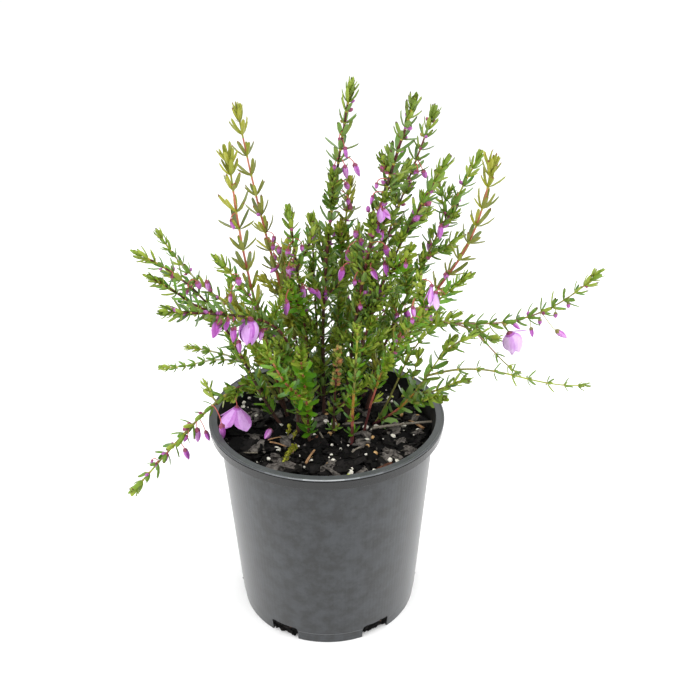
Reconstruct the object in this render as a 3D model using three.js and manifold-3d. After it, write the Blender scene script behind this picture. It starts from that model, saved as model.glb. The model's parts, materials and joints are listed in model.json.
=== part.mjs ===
// A potted black-eyed susan: a small heath-like shrub of slender shoots, set with small leaves,
// nodding buds and open bells, growing in bark mix in a round plastic nursery pot.
// Millimetres, +Z up. The origin is the centre of the pot's flat underside, and -Y is the front.
import * as THREE from 'three';
import { mergeVertices } from 'three/addons/utils/BufferGeometryUtils.js';
import Module from 'manifold-3d';

const wasm = await Module();
wasm.setup();

// Pot: a standard 140 mm nursery pot with a rolled rim, a short skirt and drain slots round its foot
const RIM_RADIUS = 70;
const POT_HEIGHT = 130.7;
const RIM_WIDTH = 5;
const RIM_ROUNDING = 0.6;
const SKIRT_DEPTH = 6.7;
const SKIRT_RADIUS = 69.4;
const SKIRT_WALL = 1;
const WALL_TOP_RADIUS = 64.2;
const WALL_THICKNESS = 1.2;
const FOOT_RADIUS = 55.4;
const FOOT_BAND_HEIGHT = 6.8;
const FOOT_BAND_STEP = 0.5;
const FLOOR_THICKNESS = 2;
const POT_SIDES = 40;
const SLOT_COUNT = 6;
const SLOT_WIDTH = 18;
const SLOT_HEIGHT = 6.5;
const SLOT_DEPTH = 7;
const FIRST_SLOT_ANGLE = -28;

// Clear gap between neighbouring solids
const GAP = 0.3;

// Potting mix: it fills the pot to a finger's breadth below the rim, with pieces of bark on its surface
const MIX_TOP = 120;
const MIX_SIDE_GAP = 0.45;
const CHIP_COUNT = 18;
const CHIP_SIZE = 8;
const CHIP_WIDTH_RATIO = 0.55;
const CHIP_HEIGHT = 2.4;
const CHIP_VARIATION = 0.6;
const CHIP_TILT = 0.2;
const CHIP_RING_INNER = 24;
const CHIP_RING_OUTER = 56;

// Limbs: radii of the bare stems, the leafy axes and the twigs, and how far a limb's curve reaches
const STEM_FOOT_RADIUS = 1.7;
const STEM_END_RADIUS = 1.4;
const STEM_SIDES = 5;
const ROOT_FLARE = 0.7;
const ROOT_FLARE_HEIGHT = 4;
const AXIS_RADIUS = 1.4;
const AXIS_TIP_RADIUS = 0.6;
const AXIS_SIDES = 3;
const TWIG_RADIUS = 1.1;
const TWIG_TIP_RADIUS = 0.55;
const TWIG_SIDES = 3;
const LIMB_STEP = 20;
const LIMB_BOW = 0.42;

// Twigs leave an axis one by one, each turned by the golden angle from the one before
const GOLDEN_ANGLE = THREE.MathUtils.degToRad(137.5);
const FIRST_TWIG = 7;
const LAST_TWIG = 26;
const TWIG_SPACING = 26;
const TWIG_LENGTH = 30;
const TWIG_OPENING = THREE.MathUtils.degToRad(42);
const TWIG_LIFT = 0.7;
const TWIG_BOW = 0.35;
const TWIG_VARIATION = 0.6;
const TWIG_ROOM = 0.75;

// A twig or leaf with no room at its own turn is tried this far round its limb
const TRIAL_TURNS = [0, 0.8, -0.8, 1.6];

// Leaves: narrow three-sided blades, larger than life, closer set and more upright towards a tip
const LEAF_LENGTH = 15;
const TIP_LEAF_LENGTH = 9;
const LEAF_WIDTH_RATIO = 0.35;
const LEAF_THICKNESS = 0.7;
const LEAF_WIDEST = 0.4;
const LEAF_ROOT_SUNK = 0.25;
const LEAF_SIDES = 3;
const LEAF_VARIATION = 0.3;
const FIRST_LEAF = 4;
const LEAF_SPACING = 11;
const TIP_LEAF_SPACING = 6;
const LEAF_OPENING = THREE.MathUtils.degToRad(58);
const TIP_LEAF_OPENING = THREE.MathUtils.degToRad(24);
const TIP_STRETCH = 26;
const TIP_TUFT = 5;
const TOP_LEAF_OVERLAP = 1.4;
const TOP_LEAF_OPENING = THREE.MathUtils.degToRad(7);

// Flowers: pointed buds and five-sided bells that nod on thin stalks
const STALK_LENGTH = 7;
const STALK_RADIUS = 0.45;
const STALK_DROOP = 0.75;
const STALK_SUNK = 1;
const FLOWER_DROOP = 3.3;
const BUD_LENGTH = 8.5;
const BUD_WIDTH = 3.6;
const BUD_VARIATION = 0.4;
const FIRST_BUD = 10;
const LAST_BUD = 22;
const BUD_FIRST_TURN = THREE.MathUtils.degToRad(270);
const BELL_LENGTH = 9;
const BELL_MOUTH_RADIUS = 7;
const BELL_NECK_RADIUS = 2.4;
const BELL_SIDES = 5;

// Seeds of the rules that deal out chips, twigs and leaves
const CHIP_SEED = 11;
const FIRST_SEED = 101;

// Clear space kept between pieces that don't carry each other, measured by balls at this step
const CLEARANCE = 0.55;
const PROBE_STEP = 1.5;

// The shortest edge and the narrowest face that a join may leave
const SHORTEST_EDGE = 0.02;
const NARROWEST_FACE = 0.004;

// Shoots: foot and tip in millimetres, the angles at which they rise there, and their bare length
const SHOOTS = {
  left_rear_spire: { foot: [-9, 21], tip: [-49, 45, 301], rise: 76, tipRise: 80, bare: 45 },
  left_lime_spire: { foot: [-24, 8], tip: [-46, -20, 292], rise: 76, tipRise: 86, bare: 55 },
  centre_spire: { foot: [-2, 13], tip: [15, 15, 321], rise: 91, tipRise: 80, bare: 45 },
  right_dark_spire: { foot: [11, 12], tip: [45, -25, 319], rise: 84, tipRise: 68, bare: 40 },
  right_rear_spire: { foot: [13, 26], tip: [61, 40, 301], rise: 84, tipRise: 70, bare: 45 },
  right_bud_spray: { foot: [12, 2], tip: [65, 0, 284], rise: 82, tipRise: 62, bare: 40 },
  right_plume: { foot: [21, 31], tip: [90, 55, 273], rise: 68, tipRise: 62, bare: 40 },
  red_stem_arch: { foot: [24, 18], tip: [88, 5, 282], rise: 80, tipRise: 88, bare: 60, bow: 0.46 },
  right_short_spray: { foot: [22, -8], tip: [72, -58, 243], rise: 78, tipRise: 46, bare: 45 },
  low_right_spray: { foot: [29, 3], tip: [71, -25, 193], rise: 40, tipRise: 58, bare: 22 },
  left_high_plume: { foot: [-18, 31], tip: [-104, 58, 225], rise: 80, tipRise: 62, bare: 40, bow: 0.46 },
  left_arm: { foot: [-27, -1], tip: [-101, -15, 238], rise: 62, tipRise: 30, bare: 40 },
  left_upper_spray: { foot: [-14, 2], tip: [-56, -30, 242], rise: 74, tipRise: 52, bare: 40 },
  left_front_arm: { foot: [-17, -9], tip: [-78, -68, 227], rise: 92, tipRise: 20, bare: 45, bow: 0.6 },
  left_low_arm: { foot: [-27, 20], tip: [-89, 28, 160], rise: 64, tipRise: 6, bare: 22, bow: 0.5 },
  left_drooping_arm: { foot: [-33, 10], tip: [-115, -30, 92], rise: 84, tipRise: -42, bare: 28, bow: 0.6 },
  front_lime_spire: { foot: [15, -19], tip: [18, -28, 204], rise: 90, tipRise: 86, bare: 22 },
  front_lime_spray: { foot: [-10, -17], tip: [-12, -50, 196], rise: 80, tipRise: 58, bare: 24 },
  front_bud_spike: { foot: [4, -8], tip: [7, -14, 182], rise: 88, tipRise: 86, bare: 10 },
  centre_left_spray: { foot: [-11, 10], tip: [-19, 2, 258], rise: 92, tipRise: 84, bare: 40 },
  centre_rear_spray: { foot: [-6, 33], tip: [-9, 45, 240], rise: 90, tipRise: 84, bare: 40 },
  centre_lime_spray: { foot: [4, 24], tip: [14, 20, 269], rise: 88, tipRise: 84, bare: 45 },
  long_right_arm: { foot: [14, 38], tip: [166, 45, 203], rise: 78, tipRise: 50, bare: 60, bow: 0.6 },
  back_low_left: { foot: [-20, 40], tip: [-45, 85, 150], rise: 60, tipRise: 20, bare: 22 },
  back_left: { foot: [-11, 43], tip: [-35, 100, 200], rise: 72, tipRise: 60, bare: 30 },
  back_centre: { foot: [3, 48], tip: [10, 118, 185], rise: 64, tipRise: 48, bare: 30 },
  back_high: { foot: [5, 38], tip: [30, 80, 225], rise: 84, tipRise: 66, bare: 36 },
  back_right: { foot: [16, 47], tip: [55, 100, 190], rise: 66, tipRise: 54, bare: 30 },
  back_low_right: { foot: [27, 40], tip: [75, 75, 165], rise: 56, tipRise: 34, bare: 26 },
};

// Side shoots: each leaves its parent at a share of the parent's length
const SIDE_SHOOTS = [
  { parent: 'long_right_arm', at: 0.5, tip: [114, 60, 151], rise: -10, tipRise: 10 },
  { parent: 'long_right_arm', at: 0.44, tip: [125, 40, 132], rise: 0, tipRise: -30 },
  { parent: 'low_right_spray', at: 0.62, tip: [158, 0, 149], rise: 14, tipRise: 2 },
  { parent: 'low_right_spray', at: 0.45, tip: [81, -30, 169], rise: 10, tipRise: 18 },
  { parent: 'low_right_spray', at: 0.36, tip: [66, -38, 160], rise: 5, tipRise: 0 },
  { parent: 'left_arm', at: 0.6, tip: [-89, -40, 234], rise: 30, tipRise: 34 },
  { parent: 'left_low_arm', at: 0.5, tip: [-113, 52, 133], rise: 0, tipRise: -6 },
  { parent: 'left_drooping_arm', at: 0.42, tip: [-75, 12, 146], rise: -10, tipRise: 10 },
  { parent: 'front_lime_spray', at: 0.42, tip: [-30, -58, 205], rise: 40, tipRise: 60 },
];

// Open bells: the shoot, the share of its length and the turn round it, in degrees from its right side
const BELLS = [
  { shoot: 'left_front_arm', at: 0.6, turn: 250 },
  { shoot: 'left_drooping_arm', at: 0.42, turn: 250 },
  { shoot: 'long_right_arm', at: 0.66, turn: 250 },
  { shoot: 'right_dark_spire', at: 0.52, turn: 300 },
  { shoot: 'right_short_spray', at: 0.62, turn: 180 },
];

// Buds: how many hang along each shoot
const BUD_COUNTS = {
  left_lime_spire: 1,
  left_arm: 2,
  left_front_arm: 3,
  left_drooping_arm: 4,
  centre_spire: 4,
  centre_left_spray: 2,
  right_dark_spire: 4,
  right_rear_spire: 2,
  right_bud_spray: 3,
  right_short_spray: 2,
  long_right_arm: 2,
  centre_lime_spray: 2,
  back_high: 2,
};

// Shoots whose leaves are young and yellow-green
const LIME_SHOOTS = [
  'left_rear_spire',
  'left_lime_spire',
  'red_stem_arch',
  'centre_lime_spray',
  'front_lime_spire',
  'front_lime_spray',
];

const BLACK_PLASTIC = new THREE.MeshStandardMaterial({ color: '#45484b', roughness: 0.5, metalness: 0 });
const BARK_MIX = new THREE.MeshStandardMaterial({ color: '#2b2522', roughness: 0.95, metalness: 0 });
const RED_BARK = new THREE.MeshStandardMaterial({ color: '#8a5142', roughness: 0.8, metalness: 0 });
const GREEN_LEAF = new THREE.MeshStandardMaterial({ color: '#42692c', roughness: 0.65, metalness: 0 });
const LIME_LEAF = new THREE.MeshStandardMaterial({ color: '#93a62c', roughness: 0.65, metalness: 0 });

const UP = new THREE.Vector3(0, 0, 1);
const DOWN = new THREE.Vector3(0, 0, -1);

// Leaves and flowers end freely: no piece grows on them
const FREE_END = 'free end';

function seededRandom(seed) {
  let state = seed >>> 0;
  return () => {
    state = (state + 0x6d2b79f5) >>> 0;
    let mixed = Math.imul(state ^ (state >>> 15), state | 1);
    mixed ^= mixed + Math.imul(mixed ^ (mixed >>> 7), mixed | 61);
    return ((mixed ^ (mixed >>> 14)) >>> 0) / 4294967296;
  };
}

// A closed geometry becomes a solid that can be joined and cut
function toSolid(geometry) {
  geometry.deleteAttribute('normal');
  geometry.deleteAttribute('uv');
  const merged = mergeVertices(geometry);
  const vertProperties = new Float32Array(merged.getAttribute('position').array);
  const triVerts = new Uint32Array(merged.getIndex().array);
  return new wasm.Manifold(new wasm.Mesh({ numProp: 3, vertProperties, triVerts }));
}

// The largest body of a solid, without its loose scraps and with its sealed hollows filled
function largestBody(solid) {
  const bodies = solid.decompose();
  return bodies.reduce((largest, body) => (body.volume() > largest.volume() ? body : largest));
}

function toMesh(name, solid, material) {
  const { vertProperties, triVerts } = solid.getMesh();
  const geometry = new THREE.BufferGeometry();
  geometry.setAttribute('position', new THREE.BufferAttribute(new Float32Array(vertProperties), 3));
  geometry.setIndex(new THREE.BufferAttribute(new Uint32Array(triVerts), 1));
  geometry.computeVertexNormals();
  const mesh = new THREE.Mesh(geometry, material);
  mesh.name = name;
  return mesh;
}

function lerp(from, to, share) {
  return from + (to - from) * share;
}

function varied(value, variation, random) {
  return value * (1 + variation * (random() - 0.5));
}

// Pot
function wallRadius(height) {
  return lerp(FOOT_RADIUS + FOOT_BAND_STEP, WALL_TOP_RADIUS, height / (POT_HEIGHT - SKIRT_DEPTH));
}

function potSolid() {
  const skirtBottom = POT_HEIGHT - SKIRT_DEPTH;
  const rimInner = RIM_RADIUS - RIM_WIDTH;
  const outline = [
    [0, 0],
    [FOOT_RADIUS, 0],
    [wallRadius(FOOT_BAND_HEIGHT) - FOOT_BAND_STEP, FOOT_BAND_HEIGHT],
    [wallRadius(FOOT_BAND_HEIGHT), FOOT_BAND_HEIGHT + FOOT_BAND_STEP],
    [WALL_TOP_RADIUS, skirtBottom + SKIRT_WALL],
    [SKIRT_RADIUS - SKIRT_WALL, skirtBottom + SKIRT_WALL],
    [SKIRT_RADIUS - SKIRT_WALL, skirtBottom],
    [SKIRT_RADIUS, skirtBottom],
    [RIM_RADIUS, POT_HEIGHT - RIM_ROUNDING],
    [RIM_RADIUS - RIM_ROUNDING, POT_HEIGHT],
    [rimInner + RIM_ROUNDING, POT_HEIGHT],
    [rimInner, POT_HEIGHT - RIM_ROUNDING],
    [WALL_TOP_RADIUS - WALL_THICKNESS, skirtBottom - SKIRT_WALL],
    [wallRadius(FLOOR_THICKNESS) - WALL_THICKNESS - FOOT_BAND_STEP, FLOOR_THICKNESS],
    [0, FLOOR_THICKNESS],
  ];
  const lathe = new THREE.LatheGeometry(outline.map(([x, y]) => new THREE.Vector2(x, y)), POT_SIDES);
  lathe.rotateX(Math.PI / 2);
  let solid = toSolid(lathe);
  for (let index = 0; index < SLOT_COUNT; index += 1) {
    const slot = new THREE.BoxGeometry(SLOT_WIDTH, 2 * SLOT_DEPTH, 2 * SLOT_HEIGHT);
    slot.translate(0, -FOOT_RADIUS, 0);
    slot.rotateZ(THREE.MathUtils.degToRad(FIRST_SLOT_ANGLE + (index * 360) / SLOT_COUNT));
    solid = solid.subtract(toSolid(slot));
  }
  return solid;
}

// Potting mix
function mixRadius(height) {
  const share = (height - FLOOR_THICKNESS) / (POT_HEIGHT - SKIRT_DEPTH - SKIRT_WALL - FLOOR_THICKNESS);
  const innerFoot = wallRadius(FLOOR_THICKNESS) - WALL_THICKNESS - FOOT_BAND_STEP;
  const innerTop = WALL_TOP_RADIUS - WALL_THICKNESS;
  return lerp(innerFoot, innerTop, share) - MIX_SIDE_GAP;
}

function mixSolid(reserved) {
  const bottom = FLOOR_THICKNESS + GAP;
  const outline = [
    [0, bottom],
    [mixRadius(bottom), bottom],
    [mixRadius(MIX_TOP), MIX_TOP],
    [0, MIX_TOP],
  ];
  const lathe = new THREE.LatheGeometry(outline.map(([x, y]) => new THREE.Vector2(x, y)), POT_SIDES);
  lathe.rotateX(Math.PI / 2);
  let solid = toSolid(lathe);
  const random = seededRandom(CHIP_SEED);
  for (let index = 0; index < CHIP_COUNT; index += 1) {
    const angle = index * GOLDEN_ANGLE;
    const distance = lerp(CHIP_RING_INNER, CHIP_RING_OUTER, Math.sqrt((index + 0.5) / CHIP_COUNT));
    const length = varied(CHIP_SIZE, CHIP_VARIATION, random);
    const centre = new THREE.Vector3(distance * Math.cos(angle), distance * Math.sin(angle), MIX_TOP);
    const turn = Math.PI * random();
    const tilt = CHIP_TILT * (random() - 0.5);
    if (!isFree([{ centre, radius: length * CHIP_WIDTH_RATIO }], null, reserved)) {
      continue;
    }
    const chip = new THREE.BoxGeometry(length, length * CHIP_WIDTH_RATIO, CHIP_HEIGHT);
    chip.rotateX(tilt);
    chip.rotateZ(turn);
    chip.translate(centre.x, centre.y, centre.z);
    solid = solid.add(toSolid(chip));
  }
  return largestBody(solid);
}

// Branches: a limb bends in one upright plane, from a start to a tip, at a given rise at each
function riseDirection(heading, rise) {
  const angle = THREE.MathUtils.degToRad(rise);
  return heading.clone().multiplyScalar(Math.cos(angle)).addScaledVector(UP, Math.sin(angle));
}

function bentCurve(start, startDirection, tip, tipDirection, bow) {
  const handle = bow * start.distanceTo(tip);
  return new THREE.CubicBezierCurve3(
    start,
    start.clone().addScaledVector(startDirection, handle),
    tip.clone().addScaledVector(tipDirection, -handle),
    tip,
  );
}

function makeBranch(start, tip, rise, tipRise, bow = LIMB_BOW) {
  const heading = tip.clone().sub(start).setZ(0).normalize();
  const curve = bentCurve(start, riseDirection(heading, rise), tip, riseDirection(heading, tipRise), bow);
  const across = new THREE.Vector3().crossVectors(UP, heading).normalize();
  return { curve, across, length: curve.getLength() };
}

// The frame of a branch at a distance from its start: where it is, its way on, and out at a turn
function frameAt(branch, distance) {
  const share = THREE.MathUtils.clamp(distance / branch.length, 0, 1);
  const point = branch.curve.getPointAt(share);
  const along = branch.curve.getTangentAt(share);
  const lift = new THREE.Vector3().crossVectors(along, branch.across).normalize();
  const out = (turn) => {
    return branch.across.clone().multiplyScalar(Math.cos(turn)).addScaledVector(lift, Math.sin(turn));
  };
  return { point, along, lift, out };
}

// A tapering limb round a stretch of a branch, cut level at its foot where it stands on the mix
function limbSolid(branch, from, to, startRadius, endRadius, sides, levelFoot = false) {
  const steps = Math.max(2, Math.round((to - from) / LIMB_STEP));
  const geometry = new THREE.CylinderGeometry(1, 1, 1, sides, steps);
  const position = geometry.getAttribute('position');
  for (let index = 0; index < position.count; index += 1) {
    const share = position.getY(index) + 0.5;
    const distance = lerp(from, to, share);
    const { point, along, lift } = frameAt(branch, distance);
    const flare = levelFoot ? 1 + ROOT_FLARE * Math.exp(-distance / ROOT_FLARE_HEIGHT) : 1;
    const radius = lerp(startRadius, endRadius, share) * flare;
    const levelLift = new THREE.Vector3().crossVectors(UP, branch.across);
    const offsetLift = levelFoot && share < 0.001 ? levelLift : lift;
    point.addScaledVector(branch.across, radius * position.getX(index));
    point.addScaledVector(offsetLift, -radius * position.getZ(index));
    position.setXYZ(index, point.x, point.y, point.z);
  }
  return toSolid(geometry);
}

// Probes are balls strung along a piece: they measure its clearance from other pieces
function probesBetween(start, end, radiusAt) {
  const count = Math.max(2, Math.ceil(start.distanceTo(end) / PROBE_STEP) + 1);
  return Array.from({ length: count }, (unused, index) => {
    const share = index / (count - 1);
    return { centre: start.clone().lerp(end, share), radius: radiusAt(share) };
  });
}

function probesAlong(branch, from, to, startRadius, endRadius) {
  const count = Math.max(2, Math.ceil((to - from) / PROBE_STEP) + 1);
  return Array.from({ length: count }, (unused, index) => {
    const share = index / (count - 1);
    const centre = frameAt(branch, lerp(from, to, share)).point;
    return { centre, radius: lerp(startRadius, endRadius, share) };
  });
}

function clearsPot({ centre, radius }) {
  const reach = Math.hypot(centre.x, centre.y);
  const rimTop = POT_HEIGHT + radius + CLEARANCE;
  const overRim = centre.z > rimTop;
  const outsidePot = reach > RIM_RADIUS + radius + CLEARANCE;
  const overMix = centre.z > MIX_TOP + CHIP_HEIGHT + radius && reach < mixRadius(MIX_TOP) - radius;
  return centre.z > radius && (overRim || outsidePot || overMix);
}

// A piece touches nothing but the limb that carries it
function isFree(probes, carrier, taken) {
  return probes.every((probe) => taken.every((other) => {
    const needed = probe.radius + other.radius + CLEARANCE;
    return other.limb === carrier || probe.centre.distanceToSquared(other.centre) >= needed * needed;
  }));
}

// Flaws are edges too short to be made and faces too narrow
function countFlaws(solid) {
  const { vertProperties, triVerts } = solid.getMesh();
  const corners = [new THREE.Vector3(), new THREE.Vector3(), new THREE.Vector3()];
  const triangle = new THREE.Triangle(...corners);
  let flaws = 0;
  for (let first = 0; first < triVerts.length; first += 3) {
    corners.forEach((corner, index) => corner.fromArray(vertProperties, 3 * triVerts[first + index]));
    triangle.set(...corners);
    const sides = corners.map((corner, index) => corner.distanceTo(corners[(index + 1) % 3]));
    const height = (2 * triangle.getArea()) / Math.max(...sides);
    flaws += Math.min(...sides) < SHORTEST_EDGE || height < NARROWEST_FACE ? 1 : 0;
  }
  return flaws;
}

// A piece joins its spray only where it finds clear space and adds no flaw, and then takes that space up
function tryPiece(spray, carrier, limb, probes, makeSolid, taken) {
  if (!probes.every(clearsPot) || !isFree(probes, carrier, taken)) {
    return false;
  }
  const joined = spray.solid.add(makeSolid());
  if (countFlaws(joined) > spray.flaws) {
    return false;
  }
  probes.forEach((probe) => taken.push({ ...probe, limb }));
  spray.solid = joined;
  return true;
}

// A leaf is a thin keeled blade, pointed at both ends and widest below its middle, rooted in the axis
function leafSolid(root, along, face, length) {
  const outline = [new THREE.Vector2(0, 0), new THREE.Vector2(1, LEAF_WIDEST), new THREE.Vector2(0, 1)];
  const geometry = new THREE.LatheGeometry(outline, LEAF_SIDES);
  const width = new THREE.Vector3().crossVectors(along, face);
  const halfWidth = (0.5 * length * LEAF_WIDTH_RATIO) / Math.sin((2 * Math.PI) / LEAF_SIDES);
  const keel = LEAF_THICKNESS / (1 + Math.cos(Math.PI / LEAF_SIDES));
  const position = geometry.getAttribute('position');
  for (let index = 0; index < position.count; index += 1) {
    const point = root.clone().addScaledVector(along, length * position.getY(index) - LEAF_ROOT_SUNK);
    point.addScaledVector(width, position.getX(index) * halfWidth);
    point.addScaledVector(face, position.getZ(index) * keel);
    position.setXYZ(index, point.x, point.y, point.z);
  }
  return toSolid(geometry);
}

function addLeaf(spray, branch, distance, turn, opening, length, taken) {
  const { point, along, out } = frameAt(branch, distance);
  const outward = out(turn);
  const blade = along.clone().multiplyScalar(Math.cos(opening)).addScaledVector(outward, Math.sin(opening));
  const face = along.clone().multiplyScalar(Math.sin(opening)).addScaledVector(outward, -Math.cos(opening));
  const halfWidth = 0.5 * length * LEAF_WIDTH_RATIO;
  const end = point.clone().addScaledVector(blade, length - LEAF_ROOT_SUNK);
  const probes = probesBetween(point, end, (share) => halfWidth * (1 - Math.abs(share - LEAF_WIDEST)));
  return tryPiece(spray, branch, FREE_END, probes, () => leafSolid(point, blade, face, length), taken);
}

function addLeaves(spray, branch, from, taken) {
  const end = branch.length - TIP_TUFT;
  let distance = from;
  let turn = 2 * Math.PI * spray.random();
  while (distance < end) {
    const toTip = THREE.MathUtils.clamp((end - distance) / TIP_STRETCH, 0, 1);
    const opening = lerp(TIP_LEAF_OPENING, LEAF_OPENING, toTip);
    const length = varied(lerp(TIP_LEAF_LENGTH, LEAF_LENGTH, toTip), LEAF_VARIATION, spray.random);
    TRIAL_TURNS.some((trial) => addLeaf(spray, branch, distance, turn + trial, opening, length, taken));
    distance += lerp(TIP_LEAF_SPACING, LEAF_SPACING, toTip);
    turn += GOLDEN_ANGLE;
  }
  addLeaf(spray, branch, end - TOP_LEAF_OVERLAP, turn, TOP_LEAF_OPENING, TIP_TUFT + TOP_LEAF_OVERLAP, taken);
}

// A twig leaves its parent at an angle and bends upwards
function makeTwig(parent, distance, turn, length) {
  const { point, along, out } = frameAt(parent, distance);
  const first = along.clone().multiplyScalar(Math.cos(TWIG_OPENING));
  first.addScaledVector(out(turn), Math.sin(TWIG_OPENING));
  const last = first.clone().addScaledVector(UP, TWIG_LIFT).normalize();
  const tip = point.clone().addScaledVector(first, 0.5 * length).addScaledVector(last, 0.5 * length);
  const curve = bentCurve(point, first, tip, last, TWIG_BOW);
  const across = new THREE.Vector3().crossVectors(first, last).normalize();
  return { curve, across, length: curve.getLength() };
}

function tryTwig(spray, parent, distance, turn, length, taken) {
  const twig = makeTwig(parent, distance, turn, length);
  const end = twig.length - TIP_TUFT;
  const probes = probesAlong(twig, 0, end, TWIG_RADIUS, TWIG_TIP_RADIUS);
  const makeSolid = () => limbSolid(twig, 0, end, TWIG_RADIUS, TWIG_TIP_RADIUS, TWIG_SIDES);
  return tryPiece(spray, parent, twig, probes, makeSolid, taken) ? twig : null;
}

function addTwigs(spray, parent, from, taken) {
  const twigs = [];
  let turn = 2 * Math.PI * spray.random();
  for (let distance = from; distance < parent.length - LAST_TWIG; distance += TWIG_SPACING) {
    const room = TWIG_ROOM * (parent.length - distance);
    const length = Math.min(room, varied(TWIG_LENGTH, TWIG_VARIATION, spray.random));
    let twig = null;
    for (let trial = 0; trial < TRIAL_TURNS.length && !twig; trial += 1) {
      twig = tryTwig(spray, parent, distance, turn + TRIAL_TURNS[trial], length, taken);
    }
    if (twig) {
      twigs.push(twig);
    }
    turn += GOLDEN_ANGLE;
  }
  return twigs;
}

// A stalk bows out from the axis and down, and carries a bud or a bell at its end
function stalkSolid(start, end) {
  const stalk = new THREE.CylinderGeometry(STALK_RADIUS, STALK_RADIUS, start.distanceTo(end), TWIG_SIDES);
  const way = end.clone().sub(start).normalize();
  stalk.applyQuaternion(new THREE.Quaternion().setFromUnitVectors(new THREE.Vector3(0, 1, 0), way));
  stalk.translate((start.x + end.x) / 2, (start.y + end.y) / 2, (start.z + end.z) / 2);
  return toSolid(stalk);
}

function budGeometry() {
  const bud = new THREE.OctahedronGeometry(1, 0);
  bud.scale(BUD_WIDTH / 2, BUD_LENGTH / 2, BUD_WIDTH / 2);
  return bud;
}

function bellGeometry() {
  return new THREE.CylinderGeometry(BELL_NECK_RADIUS, BELL_MOUTH_RADIUS, BELL_LENGTH, BELL_SIDES);
}

function addFlower(spray, branch, distance, turn, geometry, length, radius, taken) {
  const { point, out } = frameAt(branch, distance);
  const outward = out(turn);
  const stalkWay = outward.clone().addScaledVector(DOWN, STALK_DROOP).normalize();
  const stalkEnd = point.clone().addScaledVector(stalkWay, STALK_LENGTH);
  const nod = outward.clone().addScaledVector(DOWN, FLOWER_DROOP).normalize();
  const flowerEnd = stalkEnd.clone().addScaledVector(nod, length);
  const centre = stalkEnd.clone().addScaledVector(nod, length / 2 - STALK_SUNK);
  const probes = [
    ...probesBetween(point, stalkEnd, () => STALK_RADIUS),
    ...probesBetween(stalkEnd, flowerEnd, () => radius),
  ];
  const makeSolid = () => {
    geometry.applyQuaternion(
      new THREE.Quaternion().setFromUnitVectors(new THREE.Vector3(0, -1, 0), nod),
    );
    geometry.translate(centre.x, centre.y, centre.z);
    return stalkSolid(point, stalkEnd).add(toSolid(geometry));
  };
  tryPiece(spray, branch, FREE_END, probes, makeSolid, taken);
}

function addFlowers(spray, taken) {
  const { name, main, bareEnd } = spray;
  BELLS.filter((bell) => bell.shoot === name).forEach((bell) => {
    const turn = THREE.MathUtils.degToRad(bell.turn);
    const radius = BELL_MOUTH_RADIUS;
    addFlower(spray, main, bell.at * main.length, turn, bellGeometry(), BELL_LENGTH, radius, taken);
  });
  const count = BUD_COUNTS[name] ?? 0;
  for (let index = 0; index < count; index += 1) {
    const share = varied(index + 0.5, BUD_VARIATION, spray.random) / count;
    const distance = lerp(bareEnd + FIRST_BUD, main.length - LAST_BUD, share);
    const turn = BUD_FIRST_TURN + index * GOLDEN_ANGLE;
    addFlower(spray, main, distance, turn, budGeometry(), BUD_LENGTH, BUD_WIDTH / 2, taken);
  }
}

// The plant: bare stems first, then every leafy axis, then flowers, twigs and leaves where there is room
function startSpray([name, shoot], index) {
  const foot = new THREE.Vector3(shoot.foot[0], shoot.foot[1], MIX_TOP + GAP);
  const main = makeBranch(foot, new THREE.Vector3(...shoot.tip), shoot.rise, shoot.tipRise, shoot.bow);
  const axes = [{ branch: main, from: shoot.bare + GAP }];
  SIDE_SHOOTS.filter((side) => side.parent === name).forEach((side) => {
    const start = main.curve.getPointAt(side.at);
    const branch = makeBranch(start, new THREE.Vector3(...side.tip), side.rise, side.tipRise);
    axes.push({ branch, from: 0 });
  });
  return { name, main, axes, bareEnd: shoot.bare, random: seededRandom(FIRST_SEED + index) };
}

function addStem(group, { name, main, bareEnd }, taken) {
  const stem = limbSolid(main, 0, bareEnd, STEM_FOOT_RADIUS, STEM_END_RADIUS, STEM_SIDES, true);
  group.add(toMesh(`stem_${name}`, stem, RED_BARK));
  const flaredRadius = STEM_FOOT_RADIUS * (1 + ROOT_FLARE);
  const probes = probesAlong(main, 0, bareEnd, flaredRadius, STEM_END_RADIUS);
  probes.forEach((probe) => taken.push({ ...probe, limb: stem }));
}

function addAxes(spray, taken) {
  spray.axes.forEach(({ branch, from }) => {
    const end = branch.length - TIP_TUFT;
    const axis = limbSolid(branch, from, end, AXIS_RADIUS, AXIS_TIP_RADIUS, AXIS_SIDES);
    spray.solid = spray.solid ? spray.solid.add(axis) : axis;
    spray.flaws = countFlaws(spray.solid);
    const probes = probesAlong(branch, from, end, AXIS_RADIUS, AXIS_TIP_RADIUS);
    probes.forEach((probe) => taken.push({ ...probe, limb: branch }));
  });
}

function addSprays(group, sprays, taken) {
  sprays.forEach((spray) => addAxes(spray, taken));
  sprays.forEach((spray) => addFlowers(spray, taken));
  sprays.forEach((spray) => {
    const twigs = spray.axes.flatMap(({ branch, from }) => addTwigs(spray, branch, from + FIRST_TWIG, taken));
    spray.branches = [...spray.axes, ...twigs.map((branch) => ({ branch, from: 0 }))];
  });
  sprays.forEach((spray) => {
    spray.branches.forEach(({ branch, from }) => addLeaves(spray, branch, from + FIRST_LEAF, taken));
    const material = LIME_SHOOTS.includes(spray.name) ? LIME_LEAF : GREEN_LEAF;
    group.add(toMesh(`spray_${spray.name}`, largestBody(spray.solid), material));
  });
}

const pottedPlant = new THREE.Group();
const taken = [];
const sprays = Object.entries(SHOOTS).map(startSpray);
pottedPlant.add(toMesh('pot', potSolid(), BLACK_PLASTIC));
sprays.forEach((spray) => addStem(pottedPlant, spray, taken));
pottedPlant.add(toMesh('potting_mix', mixSolid(taken), BARK_MIX));
addSprays(pottedPlant, sprays, taken);

export default pottedPlant;
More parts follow.
